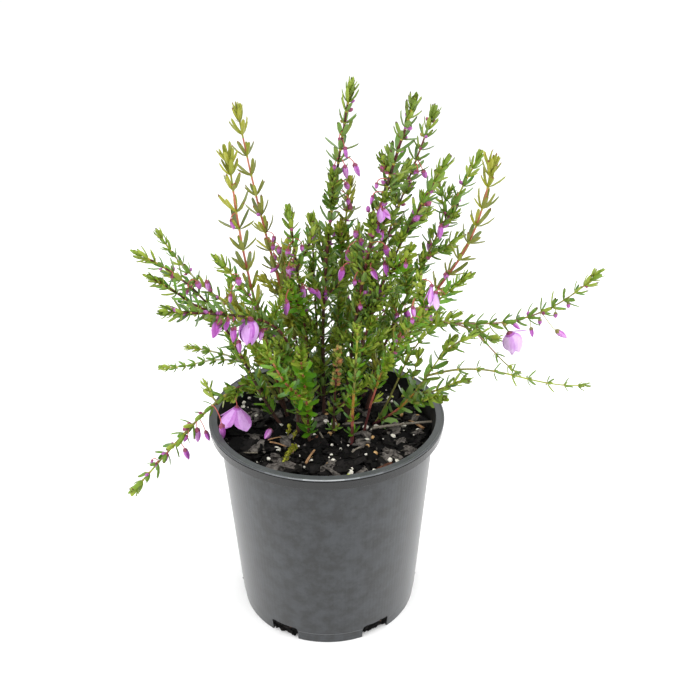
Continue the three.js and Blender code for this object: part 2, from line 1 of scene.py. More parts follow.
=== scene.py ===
# %% [markdown]
# A potted black-eyed susan
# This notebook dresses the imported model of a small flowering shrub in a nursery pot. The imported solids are
# plain and few-sided, so each one is replaced here by what the eye sees on the real plant: a moulded pot, loose
# bark mix, stems with bark, thousands of small leaves in whorls, and nodding buds and bells on thin stalks.

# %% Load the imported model
import json
import math

import bpy
import numpy as np
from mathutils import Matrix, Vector

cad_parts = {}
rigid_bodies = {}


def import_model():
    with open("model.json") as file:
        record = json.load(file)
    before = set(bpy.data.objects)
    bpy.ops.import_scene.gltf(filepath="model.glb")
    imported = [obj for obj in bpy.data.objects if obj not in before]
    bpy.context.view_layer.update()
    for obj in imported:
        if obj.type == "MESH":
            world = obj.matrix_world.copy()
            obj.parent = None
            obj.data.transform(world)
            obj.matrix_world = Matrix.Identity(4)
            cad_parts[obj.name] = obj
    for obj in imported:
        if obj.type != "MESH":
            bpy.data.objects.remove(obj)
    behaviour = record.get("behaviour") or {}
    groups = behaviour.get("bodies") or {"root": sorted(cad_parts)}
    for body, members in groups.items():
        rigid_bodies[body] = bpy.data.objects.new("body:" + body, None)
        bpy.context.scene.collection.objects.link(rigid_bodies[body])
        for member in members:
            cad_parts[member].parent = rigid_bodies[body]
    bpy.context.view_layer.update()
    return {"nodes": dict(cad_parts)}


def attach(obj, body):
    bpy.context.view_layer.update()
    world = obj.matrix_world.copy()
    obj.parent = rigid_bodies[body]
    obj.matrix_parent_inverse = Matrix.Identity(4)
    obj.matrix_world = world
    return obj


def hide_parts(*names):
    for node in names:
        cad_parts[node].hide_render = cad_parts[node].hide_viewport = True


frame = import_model()
print("packed nodes:", len(frame["nodes"]))

# %% [markdown]
# Units
# Blender works in metres, but a plant in a pot is easier to think of in millimetres. All sizes and places below
# are in millimetres, and one factor turns them into metres where a mesh is made.

# %% Units and the few vector helpers
MM = 0.001
UP = np.array([0.0, 0.0, 1.0])
DOWN = -UP
GOLDEN_ANGLE = math.radians(137.5)


def unit(vector):
    return vector / np.linalg.norm(vector)


def lerp(start, end, share):
    return start + (end - start) * share


def bezier(handles, shares):
    """Points on a cubic curve with four handles, at a column of shares."""
    rest = 1 - shares
    return (rest ** 3 * handles[0] + 3 * rest ** 2 * shares * handles[1]
            + 3 * rest * shares ** 2 * handles[2] + shares ** 3 * handles[3])


# %% [markdown]
# The camera
# Many buds and blossoms are placed by where the photograph shows them, so the camera comes first. Its height and
# distance were worked out from the round rim and foot of the pot, which the photograph shows as two ellipses.
# It looks down at about 27 degrees from half a metre away. A line of sight through a pixel then gives a point in
# space, once we know how far back that point lies.

# %% Camera
IMAGE_PIXELS = 700
FOCAL_PIXELS = 850
CAMERA_ELEVATION = math.radians(27.1)
CAMERA_DISTANCE = 489
CAMERA_TARGET = np.array([13.8, 0.0, 171.7])
SENSOR_WIDTH = 36

toward_camera = np.array([0.0, -math.cos(CAMERA_ELEVATION), math.sin(CAMERA_ELEVATION)])
camera_right = np.array([1.0, 0.0, 0.0])
camera_up = np.cross(camera_right, -toward_camera)
camera_place = CAMERA_TARGET + CAMERA_DISTANCE * toward_camera


def point_seen_at(pixel, depth):
    """The point on a pixel's line of sight that lies at this y."""
    across = (pixel[0] - IMAGE_PIXELS / 2) / FOCAL_PIXELS
    down = (pixel[1] - IMAGE_PIXELS / 2) / FOCAL_PIXELS
    sight = -toward_camera + across * camera_right - down * camera_up
    return camera_place + sight * (depth - camera_place[1]) / sight[1]


def point_on_level(pixel, height):
    """The point on a pixel's line of sight that lies at this height."""
    sight = point_seen_at(pixel, 0.0) - camera_place
    return camera_place + sight * (height - camera_place[2]) / sight[2]


def pixels_of(points):
    offsets = points - camera_place
    depth = offsets @ -toward_camera
    u = IMAGE_PIXELS / 2 + FOCAL_PIXELS * (offsets @ camera_right) / depth
    v = IMAGE_PIXELS / 2 - FOCAL_PIXELS * (offsets @ camera_up) / depth
    return np.stack([u, v], axis=1)


bpy.ops.object.camera_add(location=camera_place * MM)
camera = bpy.context.object
camera.name = "photo_camera"
camera.rotation_euler = Vector(-toward_camera).to_track_quat("-Z", "Y").to_euler()
camera.data.sensor_width = SENSOR_WIDTH
camera.data.lens = FOCAL_PIXELS / IMAGE_PIXELS * SENSOR_WIDTH
camera.data.clip_start = 0.01
bpy.context.scene.camera = camera
print("lens:", round(camera.data.lens, 1), "mm")

# %% [markdown]
# Light and floor
# The plant stands in a bright white studio: light comes from above, from both sides and from behind, and the
# camera's own side is dim. That is what makes the sides of the pot shine and leaves its middle dark, and the only
# shadow is the soft one round its foot. A wide sheet of white paper, lit a little from below as on a light table,
# a white world that is dimmer in front, and three large soft lamps give that.

# %% Floor and light
FLOOR_SIZE = 16.0
FLOOR_GLOW = 0.14
WORLD_SIDES = 1.12
WORLD_FRONT = 0.42
LAMP_AIM = Vector((0.0, 0.0, 0.12))


def rgba(hex_colour):
    """An sRGB hex colour as the linear colour that Blender's shaders take."""
    parts = [int(hex_colour[index:index + 2], 16) / 255 for index in (1, 3, 5)]
    linear = [part / 12.92 if part <= 0.04045 else ((part + 0.055) / 1.055) ** 2.4 for part in parts]
    return (*linear, 1.0)


def add_node(material, kind, settings=(), sockets=(), links=()):
    """Adds one node: settings are its own properties, sockets its input values, links (input, node, output)."""
    node = material.node_tree.nodes.new(kind)
    for name, value in dict(settings).items():
        setattr(node, name, value)
    for name, value in dict(sockets).items():
        node.inputs[name].default_value = value
    for socket, source, output in links:
        material.node_tree.links.new(source.outputs[output], node.inputs[socket])
    return node


def new_material(name, **sockets):
    """A material with one Principled shader whose constant values are set on its own sockets."""
    material = bpy.data.materials.new(name)
    material.use_nodes = True
    shader = material.node_tree.nodes["Principled BSDF"]
    for socket, value in sockets.items():
        shader.inputs[socket.replace("_", " ")].default_value = value
    return material, shader


def link(material, source, output, target, socket):
    material.node_tree.links.new(source.outputs[output], target.inputs[socket])


bpy.ops.mesh.primitive_plane_add(size=FLOOR_SIZE)
floor = bpy.context.object
floor.name = "studio_floor"
paper, paper_shader = new_material(
    "white_background_paper", Roughness=0.9, Base_Color=rgba("#f0f0f0"),
    Emission_Color=(1, 1, 1, 1), Emission_Strength=FLOOR_GLOW,
)
paper_grain = add_node(paper, "ShaderNodeTexNoise", sockets={"Scale": 60.0, "Detail": 3.0})
paper_bump = add_node(
    paper, "ShaderNodeBump", sockets={"Strength": 0.02}, links=[("Height", paper_grain, "Fac")]
)
link(paper, paper_bump, "Normal", paper_shader, "Normal")
floor.data.materials.append(paper)

LAMPS = {
    "overhead_softbox": {"place": (0.1, -0.1, 1.5), "size": 1.6, "power": 13},
    "left_softbox": {"place": (-1.1, -1.0, 0.9), "size": 1.1, "power": 11},
    "right_softbox": {"place": (1.2, -0.6, 0.8), "size": 1.1, "power": 8},
}
for name, lamp in LAMPS.items():
    bpy.ops.object.light_add(type="AREA", location=lamp["place"])
    light = bpy.context.object
    light.name = name
    light.data.size = lamp["size"]
    light.data.energy = lamp["power"]
    aim = LAMP_AIM - Vector(lamp["place"])
    light.rotation_euler = aim.to_track_quat("-Z", "Y").to_euler()

world = bpy.data.worlds.new("white_studio")
world.use_nodes = True
background = world.node_tree.nodes["Background"]
sky_direction = add_node(world, "ShaderNodeTexCoord")
sky_parts = add_node(world, "ShaderNodeSeparateXYZ", links=[("Vector", sky_direction, "Generated")])
sky_strength = add_node(
    world, "ShaderNodeMapRange",
    sockets={"From Min": -0.95, "From Max": -0.2, "To Min": WORLD_FRONT, "To Max": WORLD_SIDES},
    links=[("Value", sky_parts, "Y")],
)
link(world, sky_strength, "Result", background, "Strength")
background.inputs["Color"].default_value = (1, 1, 1, 1)
bpy.context.scene.world = world
bpy.context.scene.view_settings.view_transform = "Standard"
print("lamps:", ", ".join(LAMPS))

# %% [markdown]
# Helpers for making pieces
# A new primitive comes with whatever was selected before it, so everything is deselected first. Shapes that
# repeat hundreds of times are modelled once, read as arrays and dealt out to all their places in one joined
# mesh, because the export keeps meshes and drops instances.

# %% Helpers for making pieces


def clear_selection():
    for item in bpy.context.selected_objects:
        item.select_set(False)


def select_faces(piece, test):
    """Selects the faces whose centre and normal pass a test, and leaves the piece in edit mode."""
    bpy.ops.object.mode_set(mode="EDIT")
    bpy.ops.mesh.select_all(action="DESELECT")
    bpy.ops.mesh.select_mode(type="FACE")
    bpy.ops.object.mode_set(mode="OBJECT")
    for face in piece.data.polygons:
        face.select = test(face.center, face.normal)
    bpy.ops.object.mode_set(mode="EDIT")


def apply_modifier(piece, kind, **settings):
    modifier = piece.modifiers.new(kind.lower(), kind)
    for name, value in settings.items():
        setattr(modifier, name, value)
    bpy.context.view_layer.objects.active = piece
    bpy.ops.object.modifier_apply(modifier=modifier.name)


def take_shape(piece):
    """Reads a modelled shape as arrays, and removes its object."""
    vertices = np.array([vertex.co for vertex in piece.data.vertices])
    faces = [np.array(face.vertices) for face in piece.data.polygons]
    centres = np.array([face.center for face in piece.data.polygons])
    normals = np.array([face.normal for face in piece.data.polygons])
    bpy.data.objects.remove(piece)
    return {"vertices": vertices, "faces": faces, "centres": centres, "normals": normals}


class Joined:
    """Collects many small shapes and makes them one mesh. Sizes are in millimetres."""

    def __init__(self, name, materials):
        self.name = name
        self.materials = materials
        self.vertices = []
        self.faces = []
        self.tones = []
        self.count = 0

    def add(self, vertices, faces, tones):
        self.vertices.append(vertices)
        self.faces.extend((face + self.count).tolist() for face in faces)
        self.tones.extend(tones)
        self.count += len(vertices)

    def deal(self, shape, place, axes, tones):
        """One copy of a shape: axes are the three directions, with their lengths, of its x, y and z."""
        self.add(place + shape["vertices"] @ np.array(axes), shape["faces"], tones)

    def deal_plain(self, shape, place, axes, tone):
        """One copy of a shape in a single tone."""
        self.deal(shape, place, axes, [tone] * len(shape["faces"]))

    def make(self, slot=None, stands_for=(), crease=None):
        mesh = bpy.data.meshes.new(self.name)
        mesh.from_pydata((np.concatenate(self.vertices) * MM).tolist(), [], self.faces)
        for material in self.materials:
            mesh.materials.append(material)
        mesh.polygons.foreach_set("material_index", np.array(self.tones, dtype=np.int32))
        piece = bpy.data.objects.new(self.name, mesh)
        bpy.context.scene.collection.objects.link(piece)
        if crease:
            clear_selection()
            piece.select_set(True)
            bpy.context.view_layer.objects.active = piece
            bpy.ops.object.shade_smooth_by_angle(angle=math.radians(crease))
        finish_piece(piece, stands_for)
        return piece


def finish_piece(piece, stands_for):
    """Every piece rides on the one body and hides the solids it stands for."""
    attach(piece, "root")
    if stands_for:
        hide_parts(*stands_for)
    triangles = sum(len(face.vertices) - 2 for face in piece.data.polygons)
    print(f"{piece.name}: {triangles} triangles")


# %% [markdown]
# The pot's plastic
# The pot is black polypropylene, injection moulded and a few months old. Moulded polypropylene is never quite
# black to the eye: it has a waxy dark grey sheen, cloudy where water and hands have dulled it, with short pale
# scuffs. A slow noise makes the clouds, a stretched one the scuffs, and a fine bump the texture of the mould. A pale
# painted highlight lies in three steps on the rounded outer edge of the rim at the front, and the flat top of the rim
# is a lighter grey. The inside is dull with soil and darker still as painted shade, and two thin lines on the left,
# under the skirt and at the step of the foot band, are painted shadow.

# %% Injection-moulded polypropylene
WALL_GREYS = ("#0f1214", "#2a2e32")
SKIRT_GREYS = ("#08090a", "#101213")
LIP_GREYS = ("#34383a", "#3d4144")
# Painted highlight: three pale greys for the rounded front edge of the rim, the lightest in the middle.
RIM_HIGHLIGHT_GREYS = [("#8d9092", "#a7aaab"), ("#6f7274", "#83878a"), ("#515558", "#5f6366")]
# Soil on the inside with painted shade there, and painted shadow in two thin lines on the left of the outside.
SOIL_AND_SHADE_GREYS = ("#0a0a0a", "#1b1a19")
POT_SCUFF = "#b9bcbe"
CLOUD_SIZE = 8
SCUFF_LENGTH = 7
MOULD_GRAIN = 0.7
DUST_SHEEN = 0.37


def noise(material, place, output, size, detail, roughness=0.5):
    """A Noise node whose features are this many millimetres across, laid out by an output of the place node."""
    sockets = {"Scale": 1 / (size * MM), "Detail": detail, "Roughness": roughness}
    return add_node(material, "ShaderNodeTexNoise", sockets=sockets, links=[("Vector", place, output)])


def along_z(material, place, scale):
    """A Mapping node for the height: above 1 it squeezes a pattern along z, below 1 it draws it out."""
    sockets = {"Scale": (1.0, 1.0, scale)}
    return add_node(material, "ShaderNodeMapping", sockets=sockets, links=[("Vector", place, "Object")])


def spread(material, source, low, high, to_low=0.0, to_high=1.0):
    """A Map Range node that spreads a noise, between low and high, over a new range."""
    sockets = {"From Min": low, "From Max": high, "To Min": to_low, "To Max": to_high}
    return add_node(material, "ShaderNodeMapRange", sockets=sockets, links=[("Value", source, "Fac")])


def mixed_colour(material, factor, colours, links=()):
    """A Mix node with hex colours on its A, its B or both, and links for the other."""
    sockets = {socket: rgba(colour) for socket, colour in colours.items()}
    return add_node(material, "ShaderNodeMix", {"data_type": "RGBA"}, sockets, [("Factor", factor, "Result"), *links])


def add_bump(material, shader, height, strength, depth):
    """A Bump node on the shader's normal. The depth is in millimetres."""
    bump = add_node(
        material, "ShaderNodeBump", sockets={"Strength": strength, "Distance": depth * MM},
        links=[("Height", height, "Fac")],
    )
    link(material, bump, "Normal", shader, "Normal")


def polypropylene(name, greys, roughness, dust=DUST_SHEEN):
    """Greys are the clean and the clouded plastic; roughness runs from rubbed to dull; dust shines at the edges."""
    material, shader = new_material(name, IOR=1.49, Sheen_Weight=dust, Sheen_Roughness=0.4)
    place = add_node(material, "ShaderNodeTexCoord")
    clouds = noise(material, place, "Object", CLOUD_SIZE, 6.0, 0.65)
    base = mixed_colour(material, spread(material, clouds, 0.38, 0.62), {"A": greys[0], "B": greys[1]})
    scratches = noise(material, along_z(material, place, 6.0), "Vector", SCUFF_LENGTH, 8.0, 0.75)
    scuffed = spread(material, scratches, 0.68, 0.8, 0.0, 0.5)
    colour = mixed_colour(material, scuffed, {"B": POT_SCUFF}, [("A", base, "Result")])
    link(material, colour, "Result", shader, "Base Color")
    link(material, spread(material, clouds, 0.3, 0.7, *roughness), "Result", shader, "Roughness")
    add_bump(material, shader, noise(material, place, "Object", MOULD_GRAIN, 2.0), 0.12, 0.2)
    return material


POT_FINISHES = [
    polypropylene("injection_moulded_polypropylene", WALL_GREYS, (0.33, 0.39)),
    polypropylene("smooth_moulded_polypropylene", SKIRT_GREYS, (0.19, 0.23), 0.1),
    # The flat top of the rim, and its outer edge away from the front, take a lighter grey than the wall.
    polypropylene("light_grey_rim_top_polypropylene", LIP_GREYS, (0.27, 0.32)),
    polypropylene("soil_stained_and_painted_shade_polypropylene", SOIL_AND_SHADE_GREYS, (0.6, 0.8), 0.0),
    *[polypropylene(f"painted_highlight_rim_polypropylene_{step}", greys, (0.22, 0.27)) for step, greys in enumerate(RIM_HIGHLIGHT_GREYS)],
]
WALL, SKIRT, LIP, SOIL_AND_SHADE, RIM_HIGHLIGHT = range(5)

# %% [markdown]
# The pot
# The real pot is one thin wall that widens upwards, with a thicker rolled rim and a short skirt under it, a
# slightly drawn-in band at the foot, and drain slots cut through the corner of wall and floor. It could be spun
# from an outline; here it grows from the foot disc as on a lathe, one ring after another, because each ring is
# then one named radius and height. A bevel rounds the moulded edges, and a Boolean cuts the slots.

# %% Pot
RIM_RADIUS = 70
POT_HEIGHT = 130.7
RIM_WIDTH = 5
SKIRT_DEPTH = 6.7
SKIRT_RADIUS = 69.4
SKIRT_WALL = 1
WALL_TOP_RADIUS = 64.2
WALL_THICKNESS = 1.2
FOOT_RADIUS = 55.4
FOOT_BAND_HEIGHT = 6.8
FOOT_BAND_STEP = 0.5
FLOOR_THICKNESS = 2
POT_SIDES = 160
SLOT_COUNT = 6
SLOT_WIDTH = 18
SLOT_HEIGHT = 9.2
SLOT_DEPTH = 7
SLOT_CORNER = 1.6
FIRST_SLOT_ANGLE = -28
# How far the painted highlight reaches to each side of the front, in millimetres, one reach for each step.
RIM_HIGHLIGHT_REACHES = (12, 20, 32)


def wall_radius(height):
    return lerp(FOOT_RADIUS + FOOT_BAND_STEP, WALL_TOP_RADIUS, height / (POT_HEIGHT - SKIRT_DEPTH))


SKIRT_BOTTOM = POT_HEIGHT - SKIRT_DEPTH
POT_RINGS = [
    (wall_radius(FOOT_BAND_HEIGHT) - FOOT_BAND_STEP, FOOT_BAND_HEIGHT),
    (wall_radius(FOOT_BAND_HEIGHT), FOOT_BAND_HEIGHT + FOOT_BAND_STEP),
    (wall_radius(SKIRT_BOTTOM - 2.2), SKIRT_BOTTOM - 2.2),
    (WALL_TOP_RADIUS, SKIRT_BOTTOM + SKIRT_WALL),
    (SKIRT_RADIUS - SKIRT_WALL, SKIRT_BOTTOM + SKIRT_WALL),
    (SKIRT_RADIUS - SKIRT_WALL, SKIRT_BOTTOM),
    (SKIRT_RADIUS, SKIRT_BOTTOM),
    (RIM_RADIUS - 0.1, POT_HEIGHT - 1.5),
    (RIM_RADIUS - 0.7, POT_HEIGHT - 1.2),
    (RIM_RADIUS, POT_HEIGHT - 0.9),
    (RIM_RADIUS, POT_HEIGHT - 0.5),
    (RIM_RADIUS - 0.5, POT_HEIGHT),
    (RIM_RADIUS - 1.1, POT_HEIGHT),
    (RIM_RADIUS - 1.4, POT_HEIGHT - 0.35),
    (RIM_RADIUS - RIM_WIDTH, POT_HEIGHT - 0.6),
    (WALL_TOP_RADIUS - WALL_THICKNESS, SKIRT_BOTTOM - SKIRT_WALL),
    (wall_radius(FLOOR_THICKNESS) - WALL_THICKNESS - FOOT_BAND_STEP, FLOOR_THICKNESS),
]


def lathe_pot():
    clear_selection()
    bpy.ops.mesh.primitive_circle_add(vertices=POT_SIDES, radius=FOOT_RADIUS * MM, fill_type="NGON")
    pot = bpy.context.object
    bpy.ops.object.mode_set(mode="EDIT")
    bpy.ops.mesh.select_all(action="SELECT")
    radius, height = FOOT_RADIUS, 0
    for next_radius, next_height in POT_RINGS:
        rise = (0, 0, (next_height - height) * MM)
        bpy.ops.mesh.extrude_region_move(TRANSFORM_OT_translate={"value": rise})
        scale = next_radius / radius
        bpy.ops.transform.resize(value=(scale, scale, 1), center_override=(0, 0, next_height * MM))
        radius, height = next_radius, next_height
    bpy.ops.mesh.select_all(action="SELECT")
    bpy.ops.mesh.normals_make_consistent(inside=False)
    bpy.ops.object.mode_set(mode="OBJECT")
    return pot


def cut_drain_slots(pot):
    for index in range(SLOT_COUNT):
        clear_selection()
        bpy.ops.mesh.primitive_cube_add(size=1, location=(0, -FOOT_RADIUS * MM, 0))
        cutter = bpy.context.object
        cutter.dimensions = (SLOT_WIDTH * MM, 2 * SLOT_DEPTH * MM, 2 * SLOT_HEIGHT * MM)
        bpy.ops.object.transform_apply(location=True, scale=True)
        apply_modifier(cutter, "BEVEL", width=SLOT_CORNER * MM, segments=4)
        cutter.rotation_euler.z = math.radians(FIRST_SLOT_ANGLE + index * 360 / SLOT_COUNT)
        bpy.ops.object.transform_apply(rotation=True)
        apply_modifier(pot, "BOOLEAN", operation="DIFFERENCE", solver="EXACT", object=cutter)
        bpy.data.objects.remove(cutter)


pot = lathe_pot()
apply_modifier(pot, "BEVEL", width=0.4 * MM, segments=3, limit_method="ANGLE", angle_limit=math.radians(35))
cut_drain_slots(pot)
pot.name = "nursery_pot"
bpy.ops.object.shade_smooth_by_angle(angle=math.radians(38))
pot.data.materials.clear()
for plastic in POT_FINISHES:
    pot.data.materials.append(plastic)


def pot_finish_at(face):
    """Which of the pot's finishes a face takes, by its place and the way it looks."""
    radius, height = face.center.xy.length / MM, face.center.z / MM
    outward = face.normal.xy.dot(face.center.xy)
    side = face.center.x / MM
    # The rounded outer edge at the top of the rim: the painted highlight at the front, the lighter rim grey elsewhere.
    if height > POT_HEIGHT - 0.6 and radius > RIM_RADIUS - 0.45 and outward > 0.2 * face.center.xy.length:
        steps = [step for step, reach in enumerate(RIM_HIGHLIGHT_REACHES) if face.center.y < 0 and abs(side) < reach]
        return RIM_HIGHLIGHT + steps[0] if steps else LIP
    # Two thin lines on the left side only, just under the skirt and at the step of the foot band, take the dark finish
    # as painted shadow.
    on_wall = abs(radius - WALL_TOP_RADIUS) < 0.5 and SKIRT_BOTTOM - 2.2 < height < SKIRT_BOTTOM + SKIRT_WALL
    on_step = abs(height - FOOT_BAND_HEIGHT - 0.5 * FOOT_BAND_STEP) < 0.3 and radius < FOOT_RADIUS + 2
    if outward > 0 and side < -20 and (on_wall or on_step):
        return SOIL_AND_SHADE
    if height > POT_HEIGHT - 0.75 and radius > RIM_RADIUS - RIM_WIDTH - 0.3:
        return LIP
    # The inside of the wall is dull with soil and takes the same dark finish, also as painted shade.
    if outward < 0 and height > FLOOR_THICKNESS:
        return SOIL_AND_SHADE
    return SKIRT if height > SKIRT_BOTTOM - 0.1 and radius > WALL_TOP_RADIUS + 0.1 else WALL


for face in pot.data.polygons:
    face.material_index = pot_finish_at(face)
finish_piece(pot, ["pot"])

# %% [markdown]
# The finishes of the potting mix
# Nursery mix is composted pine bark: nearly black when moist, with some flakes dried to grey and a few red-brown
# inside faces, white beads of perlite, small beans of coated fertiliser and slivers of wood. The moist and the
# darkest bark are made darker still, as painted shade for the gaps between the pieces. They share one recipe, a
# mottled base and a rough bump, with colours and sizes of their own. A bark flake's mottles are 2 mm.

# %% Bark mix finishes


def mottled(name, light, dark, mottle_size, bump_size, bump_depth, roughness, specular=0.15, sheen=0.0, stretch=1.0):
    """A natural finish: two colours mixed by a noise over a bump, both stretched along z. Sizes in millimetres."""
    material, shader = new_material(
        name, Roughness=roughness, Specular_IOR_Level=specular, Sheen_Weight=sheen, Sheen_Roughness=0.4,
    )
    place = add_node(material, "ShaderNodeTexCoord")
    drawn = along_z(material, place, 1 / stretch)
    mottles, grain = [noise(material, drawn, "Vector", size, 4.0, 0.65) for size in (mottle_size, bump_size)]
    colour = mixed_colour(material, spread(material, mottles, 0.34, 0.66), {"A": dark, "B": light})
    link(material, colour, "Result", shader, "Base Color")
    add_bump(material, shader, grain, 0.5, bump_depth)
    return material


MIX_FINISHES = [
    # The moist and the dark bark are partly painted shade: made darker for the gaps between the pieces.
    mottled("moist_bark_and_painted_shade", "#1d1a19", "#060505", 2.5, 0.8, 0.4, 0.7),
    mottled("dark_bark_and_painted_shade", "#060505", "#010101", 2.5, 0.8, 0.4, 0.75),
    mottled("dried_grey_bark", "#77716c", "#2a2725", 2.2, 0.7, 0.4, 0.85),
    mottled("red_inner_bark", "#6b4636", "#2c1c15", 2.0, 0.7, 0.4, 0.85),
    mottled("expanded_perlite", "#f4f1e8", "#c9c3b4", 1.0, 0.6, 0.3, 0.9),
    mottled("resin_coated_fertiliser", "#d6b27a", "#a97c45", 1.5, 1.0, 0.1, 0.35, 0.5),
    mottled("green_coated_fertiliser", "#c3cb62", "#8f9a35", 1.5, 1.0, 0.1, 0.35, 0.5),
    mottled("dry_wood_sliver", "#b08b66", "#74553c", 1.2, 0.5, 0.2, 0.85),
    mottled("weathered_straw", "#8f887c", "#5d564c", 1.2, 0.5, 0.2, 0.9),
]
MOIST_BARK_AND_SHADE, DARK, GREY, RED_INNER, PERLITE, PRILL, GREEN_PRILL, SLIVER, STRAW = range(len(MIX_FINISHES))

# %% [markdown]
# The body of the mix
# Under the loose pieces the mix is one plug that fills the pot to a finger's breadth below the rim. It starts as
# a cone frustum that fits the pot; its top is inset ring by ring into a fine grid, and a cloud texture lifts
# that grid into lumps. Only loose pieces lie above it.

# %% Mix plug
GAP = 0.3
MIX_TOP = 120
MIX_SIDE_GAP = 0.45
MIX_SIDES = 128
MIX_RING = 2.0
MIX_LUMP = 2.6


def mix_radius(height):
    share = (height - FLOOR_THICKNESS) / (SKIRT_BOTTOM - SKIRT_WALL - FLOOR_THICKNESS)
    inner_foot = wall_radius(FLOOR_THICKNESS) - WALL_THICKNESS - FOOT_BAND_STEP
    return lerp(inner_foot, WALL_TOP_RADIUS - WALL_THICKNESS, share) - MIX_SIDE_GAP


def make_mix_plug():
    bottom = FLOOR_THICKNESS + GAP
    surface = MIX_TOP - 0.6 * MIX_LUMP
    clear_selection()
    bpy.ops.mesh.primitive_cone_add(
        vertices=MIX_SIDES, radius1=mix_radius(bottom) * MM, radius2=mix_radius(surface) * MM,
        depth=(surface - bottom) * MM, location=(0, 0, (surface + bottom) / 2 * MM),
    )
    plug = bpy.context.object
    bpy.ops.object.transform_apply(location=True)
    select_faces(plug, lambda centre, normal: normal.z > 0.9)
    for ring in range(int(mix_radius(surface) / MIX_RING) - 1):
        bpy.ops.mesh.inset(thickness=MIX_RING * MM)
    bpy.ops.mesh.poke()
    bpy.ops.object.mode_set(mode="OBJECT")
    return plug


def lump_surface(plug):
    surface = max(vertex.co.z for vertex in plug.data.vertices)
    group = plug.vertex_groups.new(name="surface")
    inner = (mix_radius(MIX_TOP) - 0.5 * MIX_RING) * MM
    for vertex in plug.data.vertices:
        if vertex.co.z > surface - 1e-6 and vertex.co.xy.length < inner:
            group.add([vertex.index], 1.0, "REPLACE")
    lumps = bpy.data.textures.new("mix_lumps", "CLOUDS")
    lumps.noise_scale = 7 * MM
    apply_modifier(
        plug, "DISPLACE", texture=lumps, strength=2 * MIX_LUMP * MM, mid_level=0.5, direction="Z",
        vertex_group="surface", texture_coords="LOCAL",
    )


plug = make_mix_plug()
lump_surface(plug)
plug.name = "potting_mix_body"
# The body is the near-black bark, which shows between the loose pieces as painted shade.
plug.data.materials.append(MIX_FINISHES[DARK])
bpy.ops.object.shade_smooth_by_angle(angle=math.radians(30))
finish_piece(plug, ["potting_mix"])

# %% [markdown]
# Loose pieces of the mix
# A bark flake is a broken slab. It is modelled once as a cube that is flattened, subdivided and jolted by
# vertex_random, five times with different seeds, and then dealt out in many sizes, turns and tilts by a seeded
# rule. Perlite and fertiliser start from an icosphere that is jolted a little.

# %% Shapes of the loose pieces
CRUMB_SEED = 5
FLAKE_JOLT = 0.2
CRUMB_JOLT = 0.12
BEAD_JOLT = 0.07
PRILL_JOLT = 0.015


def jolted_cube(cuts, jolt, seed):
    clear_selection()
    bpy.ops.mesh.primitive_cube_add(size=1)
    piece = bpy.context.object
    bpy.ops.object.mode_set(mode="EDIT")
    bpy.ops.mesh.subdivide(number_cuts=cuts)
    bpy.ops.transform.vertex_random(offset=jolt, uniform=1.0, seed=seed)
    bpy.ops.object.mode_set(mode="OBJECT")
    return take_shape(piece)


def jolted_ball(detail, jolt, seed):
    clear_selection()
    bpy.ops.mesh.primitive_ico_sphere_add(subdivisions=detail, radius=0.5)
    piece = bpy.context.object
    bpy.ops.object.mode_set(mode="EDIT")
    bpy.ops.transform.vertex_random(offset=jolt, uniform=1.0, seed=seed)
    bpy.ops.object.mode_set(mode="OBJECT")
    return take_shape(piece)


FLAKES = [jolted_cube(1, FLAKE_JOLT, seed) for seed in range(1, 6)]
CRUMBS = [jolted_ball(1, CRUMB_JOLT, seed) for seed in range(1, 4)]
BEADS = [jolted_ball(2, BEAD_JOLT, seed) for seed in range(1, 4)]
PRILLS = [jolted_ball(2, PRILL_JOLT, seed) for seed in range(1, 3)]
print("flake faces:", len(FLAKES[0]["faces"]), "bead faces:", len(BEADS[0]["faces"]))

# %% [markdown]
# The scatter
# Each kind has a count, a range of lengths, how flat it is, how much it may tilt, and its share of colours. The
# biggest flakes are dealt first and low, so that smaller crumbs, beads and slivers lie on and between them.

# %% Scatter of the loose pieces
LEVEL_SPREAD = (-1, 0.6)
SCATTER = [
    {"shapes": FLAKES, "count": 240, "size": (7, 14), "flat": (0.62, 0.24), "tilt": 0.9, "level": 0.0,
     "tones": {MOIST_BARK_AND_SHADE: 0.5, DARK: 0.4, GREY: 0.1}},
    {"shapes": FLAKES, "count": 170, "size": (6, 11), "flat": (0.7, 0.3), "tilt": 1.2, "level": 2.2,
     "tones": {MOIST_BARK_AND_SHADE: 0.4, DARK: 0.26, GREY: 0.33, RED_INNER: 0.01}},
    {"shapes": FLAKES, "count": 330, "size": (2.5, 5), "flat": (0.7, 0.4), "tilt": 1.2, "level": 1.9,
     "tones": {MOIST_BARK_AND_SHADE: 0.4, DARK: 0.38, GREY: 0.19, RED_INNER: 0.03}},
    {"shapes": CRUMBS, "count": 1500, "size": (0.8, 2.2), "flat": (0.8, 0.7), "tilt": 1.5, "level": 1.2,
     "tones": {MOIST_BARK_AND_SHADE: 0.35, DARK: 0.55, GREY: 0.07, RED_INNER: 0.03}},
    {"shapes": BEADS, "count": 56, "size": (2.4, 4.8), "flat": (0.9, 0.8), "tilt": 1.5, "level": 3.0,
     "tones": {PERLITE: 1.0}},
    {"shapes": BEADS, "count": 44, "size": (1, 2), "flat": (0.9, 0.8), "tilt": 1.5, "level": 2.4,
     "tones": {PERLITE: 1.0}},
    {"shapes": PRILLS, "count": 20, "size": (2.4, 3.2), "flat": (0.95, 0.95), "tilt": 1.5, "level": 3.0,
     "tones": {PRILL: 0.75, GREEN_PRILL: 0.25}},
    {"shapes": FLAKES, "count": 9, "size": (6, 11), "flat": (0.12, 0.08), "tilt": 0.3, "level": 3.4,
     "tones": {SLIVER: 0.4, STRAW: 0.6}},
]


